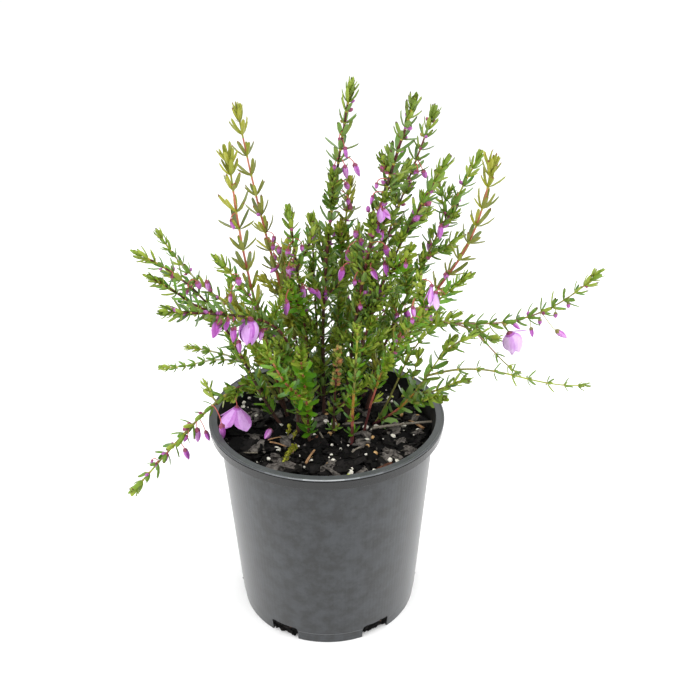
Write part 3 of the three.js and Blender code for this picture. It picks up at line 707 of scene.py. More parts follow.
def turned_axes(yaw, tilt, lean, lengths):
    """Three directions of a piece that is turned by yaw, then tilted to one side, with their lengths."""
    along = np.array([math.cos(yaw), math.sin(yaw), 0])
    side = np.array([-math.sin(yaw), math.cos(yaw), 0])
    lifted = math.cos(tilt) * side + math.sin(tilt) * UP
    normal = math.cos(tilt) * UP - math.sin(tilt) * side
    along_lifted = math.cos(lean) * along + math.sin(lean) * normal
    normal = math.cos(lean) * normal - math.sin(lean) * along
    return [along_lifted * lengths[0], lifted * lengths[1], normal * lengths[2]]


def scatter(kind, random, pieces):
    tones, shares = zip(*kind["tones"].items())
    reach = mix_radius(MIX_TOP) - 0.5
    for index in range(kind["count"]):
        length = random.uniform(*kind["size"])
        distance = (reach - 0.5 * length) * math.sqrt(random.random())
        angle = random.uniform(0, 2 * math.pi)
        tilt = kind["tilt"] * random.uniform(-0.5, 0.5)
        lean = kind["tilt"] * random.uniform(-0.5, 0.5)
        lengths = (length, length * kind["flat"][0], length * kind["flat"][1])
        axes = turned_axes(random.uniform(0, 2 * math.pi), tilt, lean, lengths)
        level = MIX_TOP + kind["level"] + random.uniform(*LEVEL_SPREAD) - 0.5 * lengths[2]
        place = np.array([distance * math.cos(angle), distance * math.sin(angle), level])
        shape = kind["shapes"][random.integers(len(kind["shapes"]))]
        tone = random.choice(tones, p=shares)
        pieces.deal_plain(shape, place, axes, tone)


loose_bark = Joined("loose_bark", MIX_FINISHES)
loose_beads = Joined("perlite_and_slivers", MIX_FINISHES)
mix_random = np.random.default_rng(CRUMB_SEED)
for kind in SCATTER:
    is_bark = MOIST_BARK_AND_SHADE in kind["tones"]
    scatter(kind, mix_random, loose_bark if is_bark else loose_beads)
loose_bark.make("potting_mix")
loose_beads.make("potting_mix", crease=50)

# %% [markdown]
# Mix in the drain slots
# Each slot is cut through the corner of wall and floor, and a little of the mix has worked down into it. Dark
# crumbs of it are laid in each slot and also stand in for the shade inside, so the slots look black rather than
# showing the floor beyond.

# %% Crumbs in the drain slots
SLOT_CRUMBS = 190
SLOT_SEED = 9
# How low the crumbs, part mix and part painted shade, reach in each slot: 0 is down to the floor, 1 only at the top.
SLOT_FILLS = [0.0, 0.22, 0.3, 0.1, 0.25, 0.2]
EDGE_CRUMB_EVERY = 9
SLOT_CRUMB_SIZES = (1.4, 3.4)
SLOT_CRUMB_TILTS = (-0.6, 0.6)


def fill_slot(angle, lowest, random, pieces):
    outward = np.array([math.sin(angle), -math.cos(angle), 0])
    along = np.array([math.cos(angle), math.sin(angle), 0])
    for crumb in range(SLOT_CRUMBS):
        size = random.uniform(*SLOT_CRUMB_SIZES)
        floor_level = lerp(0.55 * size, SLOT_HEIGHT, lowest)
        height = lerp(floor_level, SLOT_HEIGHT - 0.3 * size, random.random() ** 2.4)
        reach = FOOT_RADIUS - random.uniform(0.5 * size + 0.1, 0.8 * SLOT_DEPTH) + 0.05 * height
        if crumb % EDGE_CRUMB_EVERY == 0:
            height = SLOT_HEIGHT + random.uniform(-1.2, 0.1)
            reach = wall_radius(height) - 0.5 * size + 0.2
        place = reach * outward + random.uniform(-0.5, 0.5) * (SLOT_WIDTH - size - 1) * along + height * UP
        axes = turned_axes(random.uniform(0, 6.3), random.uniform(*SLOT_CRUMB_TILTS), 0, (size, 0.8 * size, 0.7 * size))
        tone = random.choice([MOIST_BARK_AND_SHADE, DARK, DARK, RED_INNER], p=[0.3, 0.3, 0.34, 0.06])
        pieces.deal_plain(CRUMBS[crumb % len(CRUMBS)], place, axes, tone)


slot_mix_and_shade = Joined("mix_and_painted_shade_in_drain_slots", MIX_FINISHES)
slot_random = np.random.default_rng(SLOT_SEED)
for index in range(SLOT_COUNT):
    slot_angle = math.radians(FIRST_SLOT_ANGLE + index * 360 / SLOT_COUNT)
    fill_slot(slot_angle, SLOT_FILLS[index], slot_random, slot_mix_and_shade)
slot_mix_and_shade.make("potting_mix")

# %% [markdown]
# How the plant grows
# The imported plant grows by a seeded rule, and the same rule is written again here, so that every stem, axis and
# twig stands where its solid stands. A shoot bends in one upright plane from its foot in the mix to its tip, at
# a given rise at each end. Twigs leave it one by one, each turned by the golden angle from the one before.

# %% The growth rule


def seeded_random(seed):
    """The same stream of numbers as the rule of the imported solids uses."""
    state = seed

    def mixed(value, shift, factor):
        return ((value ^ (value >> shift)) * factor) & 0xFFFFFFFF

    while True:
        state = (state + 0x6D2B79F5) & 0xFFFFFFFF
        value = mixed(state, 15, state | 1)
        value ^= (value + mixed(value, 7, value | 61)) & 0xFFFFFFFF
        yield (value ^ (value >> 14)) / 4294967296


def varied(value, variation, random):
    return value * (1 + variation * (next(random) - 0.5))


class Branch:
    """A limb on a cubic curve, with its length and a frame at any distance from its start."""

    STEPS = 120

    def __init__(self, start, first, tip, last, across, bow):
        handle = bow * np.linalg.norm(tip - start)
        self.handles = np.array([start, start + handle * first, tip - handle * last, tip])
        self.across = across
        shares = np.linspace(0, 1, self.STEPS + 1)
        points = self.points_at(shares)
        steps = np.linalg.norm(np.diff(points, axis=0), axis=1)
        self.distances = np.concatenate([[0], np.cumsum(steps)])
        self.shares = shares
        self.length = self.distances[-1]

    def points_at(self, shares):
        return bezier(self.handles, np.atleast_1d(shares)[:, None])

    def frames(self, distances):
        """Points, ways on and lifts at several distances."""
        shares = np.interp(distances, self.distances, self.shares)
        share = np.atleast_1d(shares)[:, None]
        rest = 1 - share
        legs = np.diff(self.handles, axis=0)
        ways = rest ** 2 * legs[0] + 2 * rest * share * legs[1] + share ** 2 * legs[2]
        ways /= np.linalg.norm(ways, axis=1)[:, None]
        lifts = np.cross(ways, self.across)
        return self.points_at(shares), ways, lifts / np.linalg.norm(lifts, axis=1)[:, None]

    def frame(self, distance):
        points, ways, lifts = self.frames([distance])
        return points[0], ways[0], lifts[0]

    def out(self, lift, turn):
        return math.cos(turn) * self.across + math.sin(turn) * lift


def shoot_branch(start, tip, rise, tip_rise, bow):
    """A shoot bends in the upright plane through its start and its tip."""
    heading = unit((tip - start) * np.array([1, 1, 0]))
    first, last = (
        math.cos(math.radians(angle)) * heading + math.sin(math.radians(angle)) * UP
        for angle in (rise, tip_rise)
    )
    return Branch(start, first, tip, last, unit(np.cross(UP, heading)), bow)


TWIG_OPENING = math.radians(42)
TWIG_LIFT = 0.7
TWIG_BOW = 0.35


def twig_branch(parent, distance, turn, length):
    """A twig leaves its parent at an angle and bends upwards."""
    point, way, lift = parent.frame(distance)
    first = math.cos(TWIG_OPENING) * way + math.sin(TWIG_OPENING) * parent.out(lift, turn)
    last = unit(first + TWIG_LIFT * UP)
    tip = point + 0.5 * length * (first + last)
    return Branch(point, first, tip, last, unit(np.cross(first, last)), TWIG_BOW)


# %% [markdown]
# The shoots
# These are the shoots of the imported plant, named for where the photograph shows them: foot and tip in
# millimetres, the angles at which a shoot rises there, and how far it stands bare. Each also has the tone of its
# leaves and the kind of its bark: red and brown bark on the older spires, green on the young ones. Its habit says
# how its leaves stand, and twigs_to is the share of its length beyond which it has no side twigs, because the
# photograph shows sky beside it there. The finest twigs may end sooner, at fine_to. Some shoots also bow more, start
# their leaves higher or lower (leafless), open the leaves at the tip wider (tuft) or have another tone below
# (tone_below).

# %% Shoots
LIMB_BOW = 0.42


def shoot_row(foot, tip, rises, bare, leaf, bark, habit, twigs_to, **more):
    return {"foot": foot, "tip": tip, "rises": rises, "bare": bare, "leaf": leaf, "bark": bark, "habit": habit,
            "twigs_to": twigs_to, **more}


SHOOTS = {
    "left_rear_spire": shoot_row((-9, 21), (-49, 45, 301), (76, 80), 45, "lime", "red", "lime", 0.45, tuft=(8, 50)),
    "left_lime_spire": shoot_row((-24, 8), (-46, -20, 292), (76, 86), 55, "lime", "red", "lime", 0.45, tuft=(12, 60)),
    "centre_spire": shoot_row((-2, 13), (15, 15, 321), (91, 80), 45, "deep", "brown", "spire", 0.7, fine_to=0.6),
    "right_dark_spire": shoot_row((11, 12), (45, -25, 319), (84, 68), 40, "deep", "brown", "spire", 0.8),
    "right_rear_spire": shoot_row((13, 26), (61, 40, 301), (84, 70), 45, "deep", "brown", "spire", 0.8),
    "right_bud_spray": shoot_row((12, 2), (65, 0, 284), (82, 62), 40, "fresh", "brown", "spire", 0.9),
    "right_plume": shoot_row((21, 31), (90, 55, 273), (68, 62), 40, "fresh", "olive", "spire", 0.9),
    "red_stem_arch": shoot_row(
        (24, 18), (88, 5, 282), (80, 88), 60, "lime", "red", "lime", 0.3, bow=0.46, tuft=(12, 56),
    ),
    "right_short_spray": shoot_row(
        (22, -8), (72, -58, 243), (78, 46), 45, "fresh", "golden", "arm", 0.9, leafless=0.8,
    ),
    "low_right_spray": shoot_row((29, 3), (71, -25, 193), (40, 58), 22, "deep", "golden", "glossy", 0.5, fine_to=0.0),
    "left_high_plume": shoot_row(
        (-18, 31), (-104, 58, 225), (80, 62), 40, "fresh", "pale", "arm", 0.7, bow=0.46, fine_to=0.3,
    ),
    "left_arm": shoot_row((-27, -1), (-101, -15, 238), (62, 30), 40, "fresh", "brown", "arm", 0.65, fine_to=0.3),
    "left_upper_spray": shoot_row(
        (-14, 2), (-56, -30, 242), (74, 52), 40, "fresh", "olive", "arm", 0.7, fine_to=0.35,
    ),
    "left_front_arm": shoot_row(
        (-17, -9), (-78, -68, 227), (92, 20), 45, "deep", "brown", "comb", 0.5, bow=0.6, fine_to=0.4,
    ),
    "left_low_arm": shoot_row(
        (-27, 20), (-89, 28, 160), (64, 6), 22, "fresh", "pale", "tufted", 0.5, bow=0.5, fine_to=0.25,
    ),
    "left_drooping_arm": shoot_row(
        (-33, 10), (-115, -30, 92), (84, -42), 28, "fresh", "olive", "droop", 0.45, bow=0.6, fine_to=0.3,
    ),
    "front_lime_spire": shoot_row((15, -19), (18, -28, 204), (90, 86), 22, "fresh", "golden", "small", 0.0),
    "front_lime_spray": shoot_row(
        (-10, -17), (-12, -50, 196), (80, 58), 24, "fresh", "red", "broad", 0.0, tuft=(15, 58),
    ),
    "front_bud_spike": shoot_row((4, -8), (7, -14, 182), (88, 86), 10, "deep", "brown", "small", 0.3),
    "centre_left_spray": shoot_row(
        (-11, 10), (-19, 2, 258), (92, 84), 40, "fresh", "brown", "bushy", 1.0, leafless=0.25,
    ),
    "centre_rear_spray": shoot_row(
        (-6, 33), (-9, 45, 240), (90, 84), 40, "fresh", "brown", "spire", 1.0, leafless=0.25,
    ),
    "centre_lime_spray": shoot_row(
        (4, 24), (14, 20, 269), (88, 84), 45, "lime", "olive", "bushy", 1.0, tone_below=("fresh", 0.8),
    ),
    "long_right_arm": shoot_row(
        (14, 38), (166, 45, 203), (78, 50), 60, "fresh", "tan", "open", 0.42, bow=0.6, fine_to=0.36,
    ),
    "back_low_left": shoot_row((-20, 40), (-45, 85, 150), (60, 20), 22, "deep", "olive", "arm", 1.0),
    "back_left": shoot_row((-11, 43), (-35, 100, 200), (72, 60), 30, "deep", "brown", "bushy", 1.0),
    "back_centre": shoot_row((3, 48), (10, 118, 185), (64, 48), 30, "deep", "brown", "spire", 1.0),
    "back_high": shoot_row((5, 38), (30, 80, 225), (84, 66), 36, "fresh", "red", "spire", 1.0),
    "back_right": shoot_row((16, 47), (55, 100, 190), (66, 54), 30, "deep", "brown", "bushy", 1.0),
    "back_low_right": shoot_row((27, 40), (75, 75, 165), (56, 34), 26, "fresh", "olive", "arm", 1.0),
}
SIDE_SHOOTS = [
    {"parent": "long_right_arm", "at": 0.5, "tip": (114, 60, 151), "rises": (-10, 10), "habit": "sparse"},
    {"parent": "long_right_arm", "at": 0.44, "tip": (125, 40, 132), "rises": (0, -30), "habit": "airy"},
    {"parent": "low_right_spray", "at": 0.62, "tip": (158, 0, 149), "rises": (14, 2), "habit": "airy"},
    {"parent": "low_right_spray", "at": 0.45, "tip": (81, -30, 169), "rises": (10, 18), "habit": "sparse"},
    {"parent": "low_right_spray", "at": 0.36, "tip": (66, -38, 160), "rises": (5, 0), "habit": "sparse"},
    {"parent": "left_arm", "at": 0.6, "tip": (-89, -40, 234), "rises": (30, 34), "habit": "arm"},
    {"parent": "left_low_arm", "at": 0.5, "tip": (-113, 52, 133), "rises": (0, -6), "habit": "tufted"},
    {"parent": "left_drooping_arm", "at": 0.42, "tip": (-75, 12, 146), "rises": (-10, 10), "habit": "arm"},
    {"parent": "front_lime_spray", "at": 0.42, "tip": (-30, -58, 205), "rises": (40, 60), "habit": "comb"},
]
BUD_COUNTS = {
    "left_lime_spire": 1, "left_arm": 2, "left_front_arm": 3, "left_drooping_arm": 4, "centre_spire": 4,
    "centre_left_spray": 2, "right_dark_spire": 4, "right_rear_spire": 2, "right_bud_spray": 3,
    "right_short_spray": 2, "long_right_arm": 2, "centre_lime_spray": 2, "back_high": 2,
}

# %% [markdown]
# Axes and twigs
# Each shoot is a main axis with its side shoots, and all of them carry twigs. The seeds, spacings and lengths of
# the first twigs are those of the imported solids. Between them grow finer twigs, down to a few millimetres, which
# the solids leave out. Every limb is kept with its radii, so that its bark and leaves can be made later.

# %% Grow the limbs
FIRST_SEED = 101
FIRST_TWIG = 7
LAST_TWIG = 26
TWIG_SPACING = 26
TWIG_LENGTH = 30
TWIG_VARIATION = 0.6
TWIG_ROOM = 0.75
FINE_TWIG_SPACING = 9.2
FINE_TWIG_LENGTHS = (7, 20)
FINE_LAST_TWIG = 34
FINE_SPACING_SPREAD = (0.7, 1.4)
LEAFLESS_SHARE = 0.3
FINE_END = 9
FINE_ROOM = 0.6
TIP_MARGIN = 7
FINE_SEED = 31
FOOT_RADIUS_LIMB = 1.0
FAR_RADIUS_LIMB = 0.46
GIRTHS = {"right_dark_spire": 1.35, "centre_spire": 1.2, "long_right_arm": 0.9, "front_bud_spike": 0.8,
          "right_short_spray": 0.75, "low_right_spray": 0.8, "front_lime_spire": 1.0, "front_lime_spray": 0.85}
SIDE_RADIUS = 0.75
TWIG_RADIUS = 0.55
FINE_TWIG_RADIUS = 0.42
TIP_RADIUS = 0.32


def clear_of_pot(point, margin):
    """Whether a point is clear of the pot's wall and rim and of the mix."""
    reach = math.hypot(point[0], point[1])
    over_rim = point[2] > POT_HEIGHT + margin
    outside = reach > RIM_RADIUS + margin and point[2] > margin
    over_mix = point[2] > MIX_TOP + 1 + margin and reach < mix_radius(MIX_TOP) - margin
    return over_rim or outside or over_mix


def twig_is_clear(twig):
    return all(clear_of_pot(point, 2) for point in twig.points_at(np.linspace(0.3, 1, 6)))


def grow_shoot(name, shoot, random, fine):
    foot = np.array([*shoot["foot"], MIX_TOP + GAP])
    tip = np.array(shoot["tip"], dtype=float)
    main = shoot_branch(foot, tip, *shoot["rises"], shoot.get("bow", LIMB_BOW))
    axes = [{"branch": main, "from": shoot["bare"] + GAP, "kind": "main"}]
    for side in SIDE_SHOOTS:
        if side["parent"] == name:
            start = main.frame(side["at"] * main.length)[0]
            branch = shoot_branch(start, np.array(side["tip"], dtype=float), *side["rises"], LIMB_BOW)
            axes.append({"branch": branch, "from": 0, "kind": "side", "habit": side["habit"]})
    for bud in range(BUD_COUNTS.get(name, 0)):
        next(random)
    limbs = []
    for axis in axes:
        branch = axis["branch"]
        turn = 2 * math.pi * next(random)
        distance = axis["from"] + FIRST_TWIG
        while distance < branch.length - LAST_TWIG:
            room = TWIG_ROOM * (branch.length - distance)
            length = min(room, varied(TWIG_LENGTH, TWIG_VARIATION, random))
            twig = twig_branch(branch, distance, turn, length)
            in_crown = axis["kind"] == "main" and distance < shoot["twigs_to"] * branch.length
            if in_crown and twig_is_clear(twig):
                limbs.append({"branch": twig, "from": 0, "kind": "twig", "parent": branch})
            turn += GOLDEN_ANGLE
            distance += TWIG_SPACING
    fine_to = shoot.get("fine_to", shoot["twigs_to"])
    for axis in [*axes, *limbs]:
        if axis["kind"] != "side" and fine_to > 0:
            add_fine_twigs(axis, fine, limbs, fine_to)
    return [*axes, *limbs]


def add_fine_twigs(limb, fine, limbs, twigs_to):
    branch = limb["branch"]
    turn = fine.uniform(0, 2 * math.pi)
    distance = FINE_TWIG_SPACING + (LEAFLESS_SHARE * limb["from"] if limb["kind"] == "main" else 0)
    end = branch.length - FINE_END
    if limb["kind"] != "twig":
        end = min(twigs_to * branch.length, branch.length - FINE_LAST_TWIG)
    while distance < end:
        length = min(fine.uniform(*FINE_TWIG_LENGTHS), FINE_ROOM * (branch.length - distance))
        twig = twig_branch(branch, distance, turn, length)
        if twig_is_clear(twig):
            limbs.append({"branch": twig, "from": 0, "kind": "fine", "parent": branch})
        turn += GOLDEN_ANGLE
        distance += FINE_TWIG_SPACING * fine.uniform(*FINE_SPACING_SPREAD)


plant = []
fine_random = np.random.default_rng(FINE_SEED)
for index, (name, shoot) in enumerate(SHOOTS.items()):
    for limb in grow_shoot(name, shoot, seeded_random(FIRST_SEED + index), fine_random):
        plant.append({**shoot, "shoot": name, **limb})
print("limbs:", {kind: sum(limb["kind"] == kind for limb in plant) for kind in ("main", "side", "twig", "fine")})

# %% [markdown]
# Late shoots
# The photograph shows two younger shoots that branch off low on the right and cross the gap under the long arm.
# Each starts from the point of its parent nearest to a pixel and ends at another, a little nearer to the camera
# or further back.

# %% Late shoots
PARENT_SAMPLES = 80
LATE_SHOOTS = [
    {"parent": "low_right_spray", "foot": (356.0, 396.0), "tip": (461.0, 313.0), "deeper": 4, "rises": (60, 22),
     "first_node": 34, "habit": "open", "bark": "olive"},
    {"parent": "low_right_spray", "foot": (443.0, 352.0), "tip": (480.0, 334.0), "deeper": 6, "rises": (30, 4),
     "first_node": 5, "habit": "sparse", "bark": "olive"},
]
for late in LATE_SHOOTS:
    parent = next(limb["branch"] for limb in plant if limb["shoot"] == late["parent"] and limb["kind"] == "main")
    points = parent.frames(np.linspace(0, parent.length, PARENT_SAMPLES))[0]
    start = points[np.linalg.norm(pixels_of(points) - np.array(late["foot"]), axis=1).argmin()]
    branch = shoot_branch(start, point_seen_at(late["tip"], start[1] + late["deeper"]), *late["rises"], LIMB_BOW)
    plant.append({**late, "shoot": late["parent"], "leaf": "fresh", "branch": branch, "from": 0, "kind": "side"})
    print("late shoot:", round(branch.length), "mm")

# %% [markdown]
# Sprigs on the mix
# Three tiny young sprigs grow in front, one lying on the mix and two upright, with round yellow-green leaves of
# 3 mm. They are placed where the photograph shows them, on the level of the mix.

# %% Sprigs
SPRIG_LEVEL = MIX_TOP + 3
SPRIGS = [
    {"foot": (297.0, 447.0), "tip": (279.0, 466.0), "rise": 2.0, "rises": (40, 10)},
    {"foot": (288.0, 437.0), "tip": (291.0, 416.0), "rise": 12.0, "rises": (88, 80)},
    {"foot": (293.0, 440.0), "tip": (301.0, 422.0), "rise": 9.0, "rises": (80, 60)},
]
for sprig in SPRIGS:
    foot = point_on_level(sprig["foot"], SPRIG_LEVEL - 1)
    tip = point_on_level(sprig["tip"], SPRIG_LEVEL + sprig["rise"])
    branch = shoot_branch(foot, tip, *sprig["rises"], LIMB_BOW)
    plant.append({"branch": branch, "from": 0, "kind": "fine", "shoot": "sprig", "leaf": "lime", "bark": "olive",
                  "habit": "sprig"})

# %% [markdown]
# Bark
# The young stems are thin and smooth, ringed by the scars of fallen leaves, with bark that turns from dark brown
# at the foot through brick red to green at the growing tip. The colour has its place along the stem, so each
# ring of faces takes one of a few plain tones. The recipe of the mix, drawn out five times along the stem, gives
# each tone its fine streaks, 0.8 mm wide, and a low waxy gloss.

# %% Bark finishes
BARK_SKIN = {"mottle_size": 0.8, "bump_size": 0.8, "bump_depth": 0.15, "roughness": 0.6, "specular": 0.35, "stretch": 5}
BARK_COLOURS = {
    "dark_brown": ("old_brown_bark", "#5c3f35", "#33211d"),
    "maroon": ("young_maroon_bark", "#6f3836", "#4a2426"),
    "brick": ("young_brick_bark", "#b9695a", "#8f4638"),
    "salmon": ("young_salmon_bark", "#cc8468", "#ab5d47"),
    "golden": ("young_golden_bark", "#b98a3c", "#93652c"),
    "olive": ("green_brown_bark", "#8c8a45", "#636332"),
    "green": ("growing_green_shoot", "#a3ad3f", "#7f8c2f"),
    "pale": ("grey_green_bark", "#a3a584", "#7d8163"),
    "tan": ("young_tan_bark", "#a08068", "#7f6450"),
    "collar": ("leaf_scar_collar", "#b9ab45", "#8c8236"),
}
BARK_TONES = {tone: mottled(*colours, **BARK_SKIN) for tone, colours in BARK_COLOURS.items()}
BARK_KINDS = {
    "red": [(0.0, "dark_brown"), (0.12, "maroon"), (0.3, "brick"), (0.72, "salmon"), (0.9, "green")],
    "brown": [(0.0, "dark_brown"), (0.35, "maroon"), (0.62, "dark_brown"), (0.8, "maroon"), (0.93, "olive")],
    "olive": [(0.0, "dark_brown"), (0.18, "maroon"), (0.34, "olive"), (0.8, "green")],
    "golden": [(0.0, "maroon"), (0.14, "brick"), (0.24, "golden"), (0.44, "olive"), (0.7, "green")],
    "pale": [(0.0, "dark_brown"), (0.15, "olive"), (0.35, "pale"), (0.85, "green")],
    "tan": [(0.0, "dark_brown"), (0.25, "maroon"), (0.4, "tan"), (0.8, "olive")],
}
BARK_ORDER = list(BARK_TONES)


def bark_tone(kind, share):
    found = [tone for start, tone in BARK_KINDS[kind] if share >= start]
    return BARK_ORDER.index(found[-1])


# %% [markdown]
# Nodes and whorls
# Leaves stand in whorls of three to six at the nodes. How far the nodes are apart, how long the leaves are and
# how far they stand out differs from shoot to shoot: close and upright on the spires, wide apart on the lime
# shoots and on the thin trailing one. The nodes are worked out once for each limb, because both its bark, with a
# swelling and a yellow-green scar there, and its leaves need them.

# %% Leaf habits and the nodes of every limb
NODE_SEED = 47
HABIT_COLUMNS = ("spacing", "leaf", "leaves", "opening", "tip_leaf", "width")
HABIT_ROWS = {
    "spire": (6.6, 9.8, (4, 5), 58, 7.5, 0.132),
    "lime": (11.0, 11.5, (5, 6), 50, 10.0, 0.115),
    "comb": (6.2, 9.4, (4, 5), 60, 7.0, 0.142),
    "arm": (6.2, 8.6, (4, 5), 58, 6.5, 0.13),
    "open": (8.0, 9.8, (5, 5), 58, 8.0, 0.135),
    "sparse": (8.4, 8.6, (4, 5), 60, 7.0, 0.15),
    "airy": (11.5, 7.2, (4, 4), 66, 4.8, 0.1),
    "droop": (8.0, 8.6, (3, 4), 60, 6.5, 0.18),
    "tufted": (7.6, 6.0, (5, 6), 58, 5.4, 0.16),
    "glossy": (8.6, 9.0, (3, 5), 62, 7.0, 0.2),
    "broad": (5.6, 8.8, (4, 5), 58, 7.2, 0.19),
    "small": (9.2, 6.0, (5, 6), 66, 5.4, 0.2),
    "sprig": (2.6, 3.4, (4, 4), 66, 2.6, 0.32),
    "bushy": (5.4, 8.8, (4, 5), 60, 6.5, 0.142),
}
HABITS = {name: dict(zip(HABIT_COLUMNS, row)) for name, row in HABIT_ROWS.items()}
KIND_SPACING = {"main": 1.0, "side": 1.0, "twig": 0.8, "fine": 0.62}
FIRST_NODE = {"main": 0, "side": 6, "twig": 3.5, "fine": 2.5}
TIP_NODE_SPACING = 3.0
TIP_STRETCH = 20
SPACING_SPREAD = (0.88, 1.12)


def place_nodes(limb, random):
    branch = limb["branch"]
    end = branch.length - TIP_MARGIN
    spacing = HABITS[limb["habit"]]["spacing"] * KIND_SPACING[limb["kind"]]
    distance = limb.get("first_node", FIRST_NODE[limb["kind"]])
    if limb["kind"] == "main":
        distance = limb.get("leafless", LEAFLESS_SHARE) * limb["from"]
    nodes = []
    while distance < end:
        nodes.append(distance)
        to_tip = min(1, (end - distance) / TIP_STRETCH)
        distance += lerp(TIP_NODE_SPACING, spacing, to_tip) * random.uniform(*SPACING_SPREAD)
    return np.array(nodes)


node_random = np.random.default_rng(NODE_SEED)
for limb in plant:
    limb["nodes"] = place_nodes(limb, node_random)
print("nodes:", sum(len(limb["nodes"]) for limb in plant))

# %% [markdown]
# Stems and twigs
# A limb is a tapering tube round its curve. Its rings are swollen at the nodes and slightly fluted between them,
# which is the relief that catches the light on a real stem. Main stems have twelve sides, side shoots eight, twigs
# six and the finest ones five.

# %% Stems and twigs
NODE_SWELLING = 0.28
SCAR_LENGTH = 0.7
FLUTE_DEPTH = 0.05
FLUTES = 3
FLUTE_TWIST = 3.1
TAPER = 0.8
ROOT_FLARE = 0.35
ROOT_FLARE_HEIGHT = 4
RING_STEP = {"main": 1.0, "side": 1.2, "twig": 1.4, "fine": 1.6}
LIMB_SIDES = {"main": 12, "side": 8, "twig": 6, "fine": 5}
FOOT_DEPTH = 2
TWIG_BARK_FROM = 0.45
COLLARS_FROM = 0.3
COLLAR = BARK_ORDER.index("collar")


def near_node(limb, distance):
    return len(limb["nodes"]) > 0 and np.abs(limb["nodes"] - distance).min() < SCAR_LENGTH


def limb_radii(limb, distances):
    share = distances / limb["branch"].length
    start, end = {
        "main": (FOOT_RADIUS_LIMB, FAR_RADIUS_LIMB),
        "side": (SIDE_RADIUS, TIP_RADIUS),
        "twig": (TWIG_RADIUS, TIP_RADIUS),
        "fine": (FINE_TWIG_RADIUS, TIP_RADIUS),
    }[limb["kind"]]
    radii = lerp(start, end, share ** TAPER)
    if limb["kind"] == "main":
        radii *= GIRTHS.get(limb["shoot"], 1) * (1 + ROOT_FLARE * np.exp(-distances / ROOT_FLARE_HEIGHT))
    if len(limb["nodes"]):
        offsets = np.abs(distances[:, None] - limb["nodes"][None, :]).min(axis=1)
        radii *= 1 + NODE_SWELLING * np.exp(-(offsets / SCAR_LENGTH) ** 2)
    return radii


def tube_vertices(points, radii, across, lifts):
    """The corners of a tube's rings: radii has a row for each ring and a column for each corner."""
    angles = np.arange(radii.shape[1]) * 2 * math.pi / radii.shape[1]
    return (
        points[:, None, :]
        + (radii * np.cos(angles))[:, :, None] * across
        + (radii * np.sin(angles))[:, :, None] * lifts[:, None, :]
    ).reshape(-1, 3)


def tube_faces(rings, sides):
    """The faces of a closed tube: its sides ring by ring, then both ends."""
    corner = np.arange(sides)
    following = (corner + 1) % sides
    faces = []
    for lower in range(0, (rings - 1) * sides, sides):
        upper = lower + sides
        faces.extend(np.stack([lower + corner, lower + following, upper + following, upper + corner], axis=1))
    return [*faces, corner[::-1], (rings - 1) * sides + corner]


def limb_mesh(limb):
    branch, sides = limb["branch"], LIMB_SIDES[limb["kind"]]
    start = -FOOT_DEPTH if limb["kind"] == "main" else 0
    end = branch.length - TIP_MARGIN
    count = max(4, int((end - start) / RING_STEP[limb["kind"]]))
    distances = np.linspace(start, end, count)
    points, ways, lifts = branch.frames(np.clip(distances, 0, None))
    points = points + np.minimum(distances, 0)[:, None] * ways
    radii = limb_radii(limb, np.clip(distances, 0, None))
    angles = np.arange(sides) * 2 * math.pi / sides
    flutes = 1 + FLUTE_DEPTH * np.sin(FLUTES * angles[None, :] + distances[:, None] / FLUTE_TWIST)
    vertices = tube_vertices(points, radii[:, None] * flutes, branch.across, lifts)
    tones = []
    base_share = 0.0 if limb["kind"] == "main" else TWIG_BARK_FROM
    for ring in range(count - 1):
        share = lerp(base_share, 1, max(0, distances[ring]) / branch.length)
        on_collar = share > COLLARS_FROM and near_node(limb, 0.5 * (distances[ring] + distances[ring + 1]))
        tones.extend([COLLAR if on_collar else bark_tone(limb["bark"], share)] * sides)
    tones.extend([tones[0], tones[-1]])
    return vertices, tube_faces(count, sides), tones


stem_pieces = Joined("stems_with_bark", list(BARK_TONES.values()))
twig_pieces = Joined("twigs_with_bark", list(BARK_TONES.values()))
for limb in plant:
    target = stem_pieces if limb["kind"] == "main" else twig_pieces
    target.add(*limb_mesh(limb))
stem_pieces.make("stem_bark", [f"stem_{name}" for name in SHOOTS], crease=60)
twig_pieces.make("stem_bark", crease=60)

# %% [markdown]
# Leaf finishes
# A leaf of this shrub is small, firm and narrow: its upper face is a glossy green with a waxy cuticle, its
# underside dull and grey-green, but a young leaf is as bright below as above. Old leaves are deep green, those of
# the lime shoots yellow-green, and the young ones round every growing tip are paler. Some leaves end in a dry brown
# point. These tints have a place, so they are plain colours dealt out leaf by leaf.

# %% Leaf finishes
CUTICLE_GRAIN = 0.7


def leaf_finish(name, colour, roughness, specular):
    """Leaf cuticle: one green with a very fine bump, which breaks up the gloss into small lights."""
    material, shader = new_material(
        name, Base_Color=rgba(colour), Roughness=roughness, Specular_IOR_Level=specular,
    )
    place = add_node(material, "ShaderNodeTexCoord")
    add_bump(material, shader, noise(material, place, "Object", CUTICLE_GRAIN, 2.0), 0.25, 0.1)
    return material


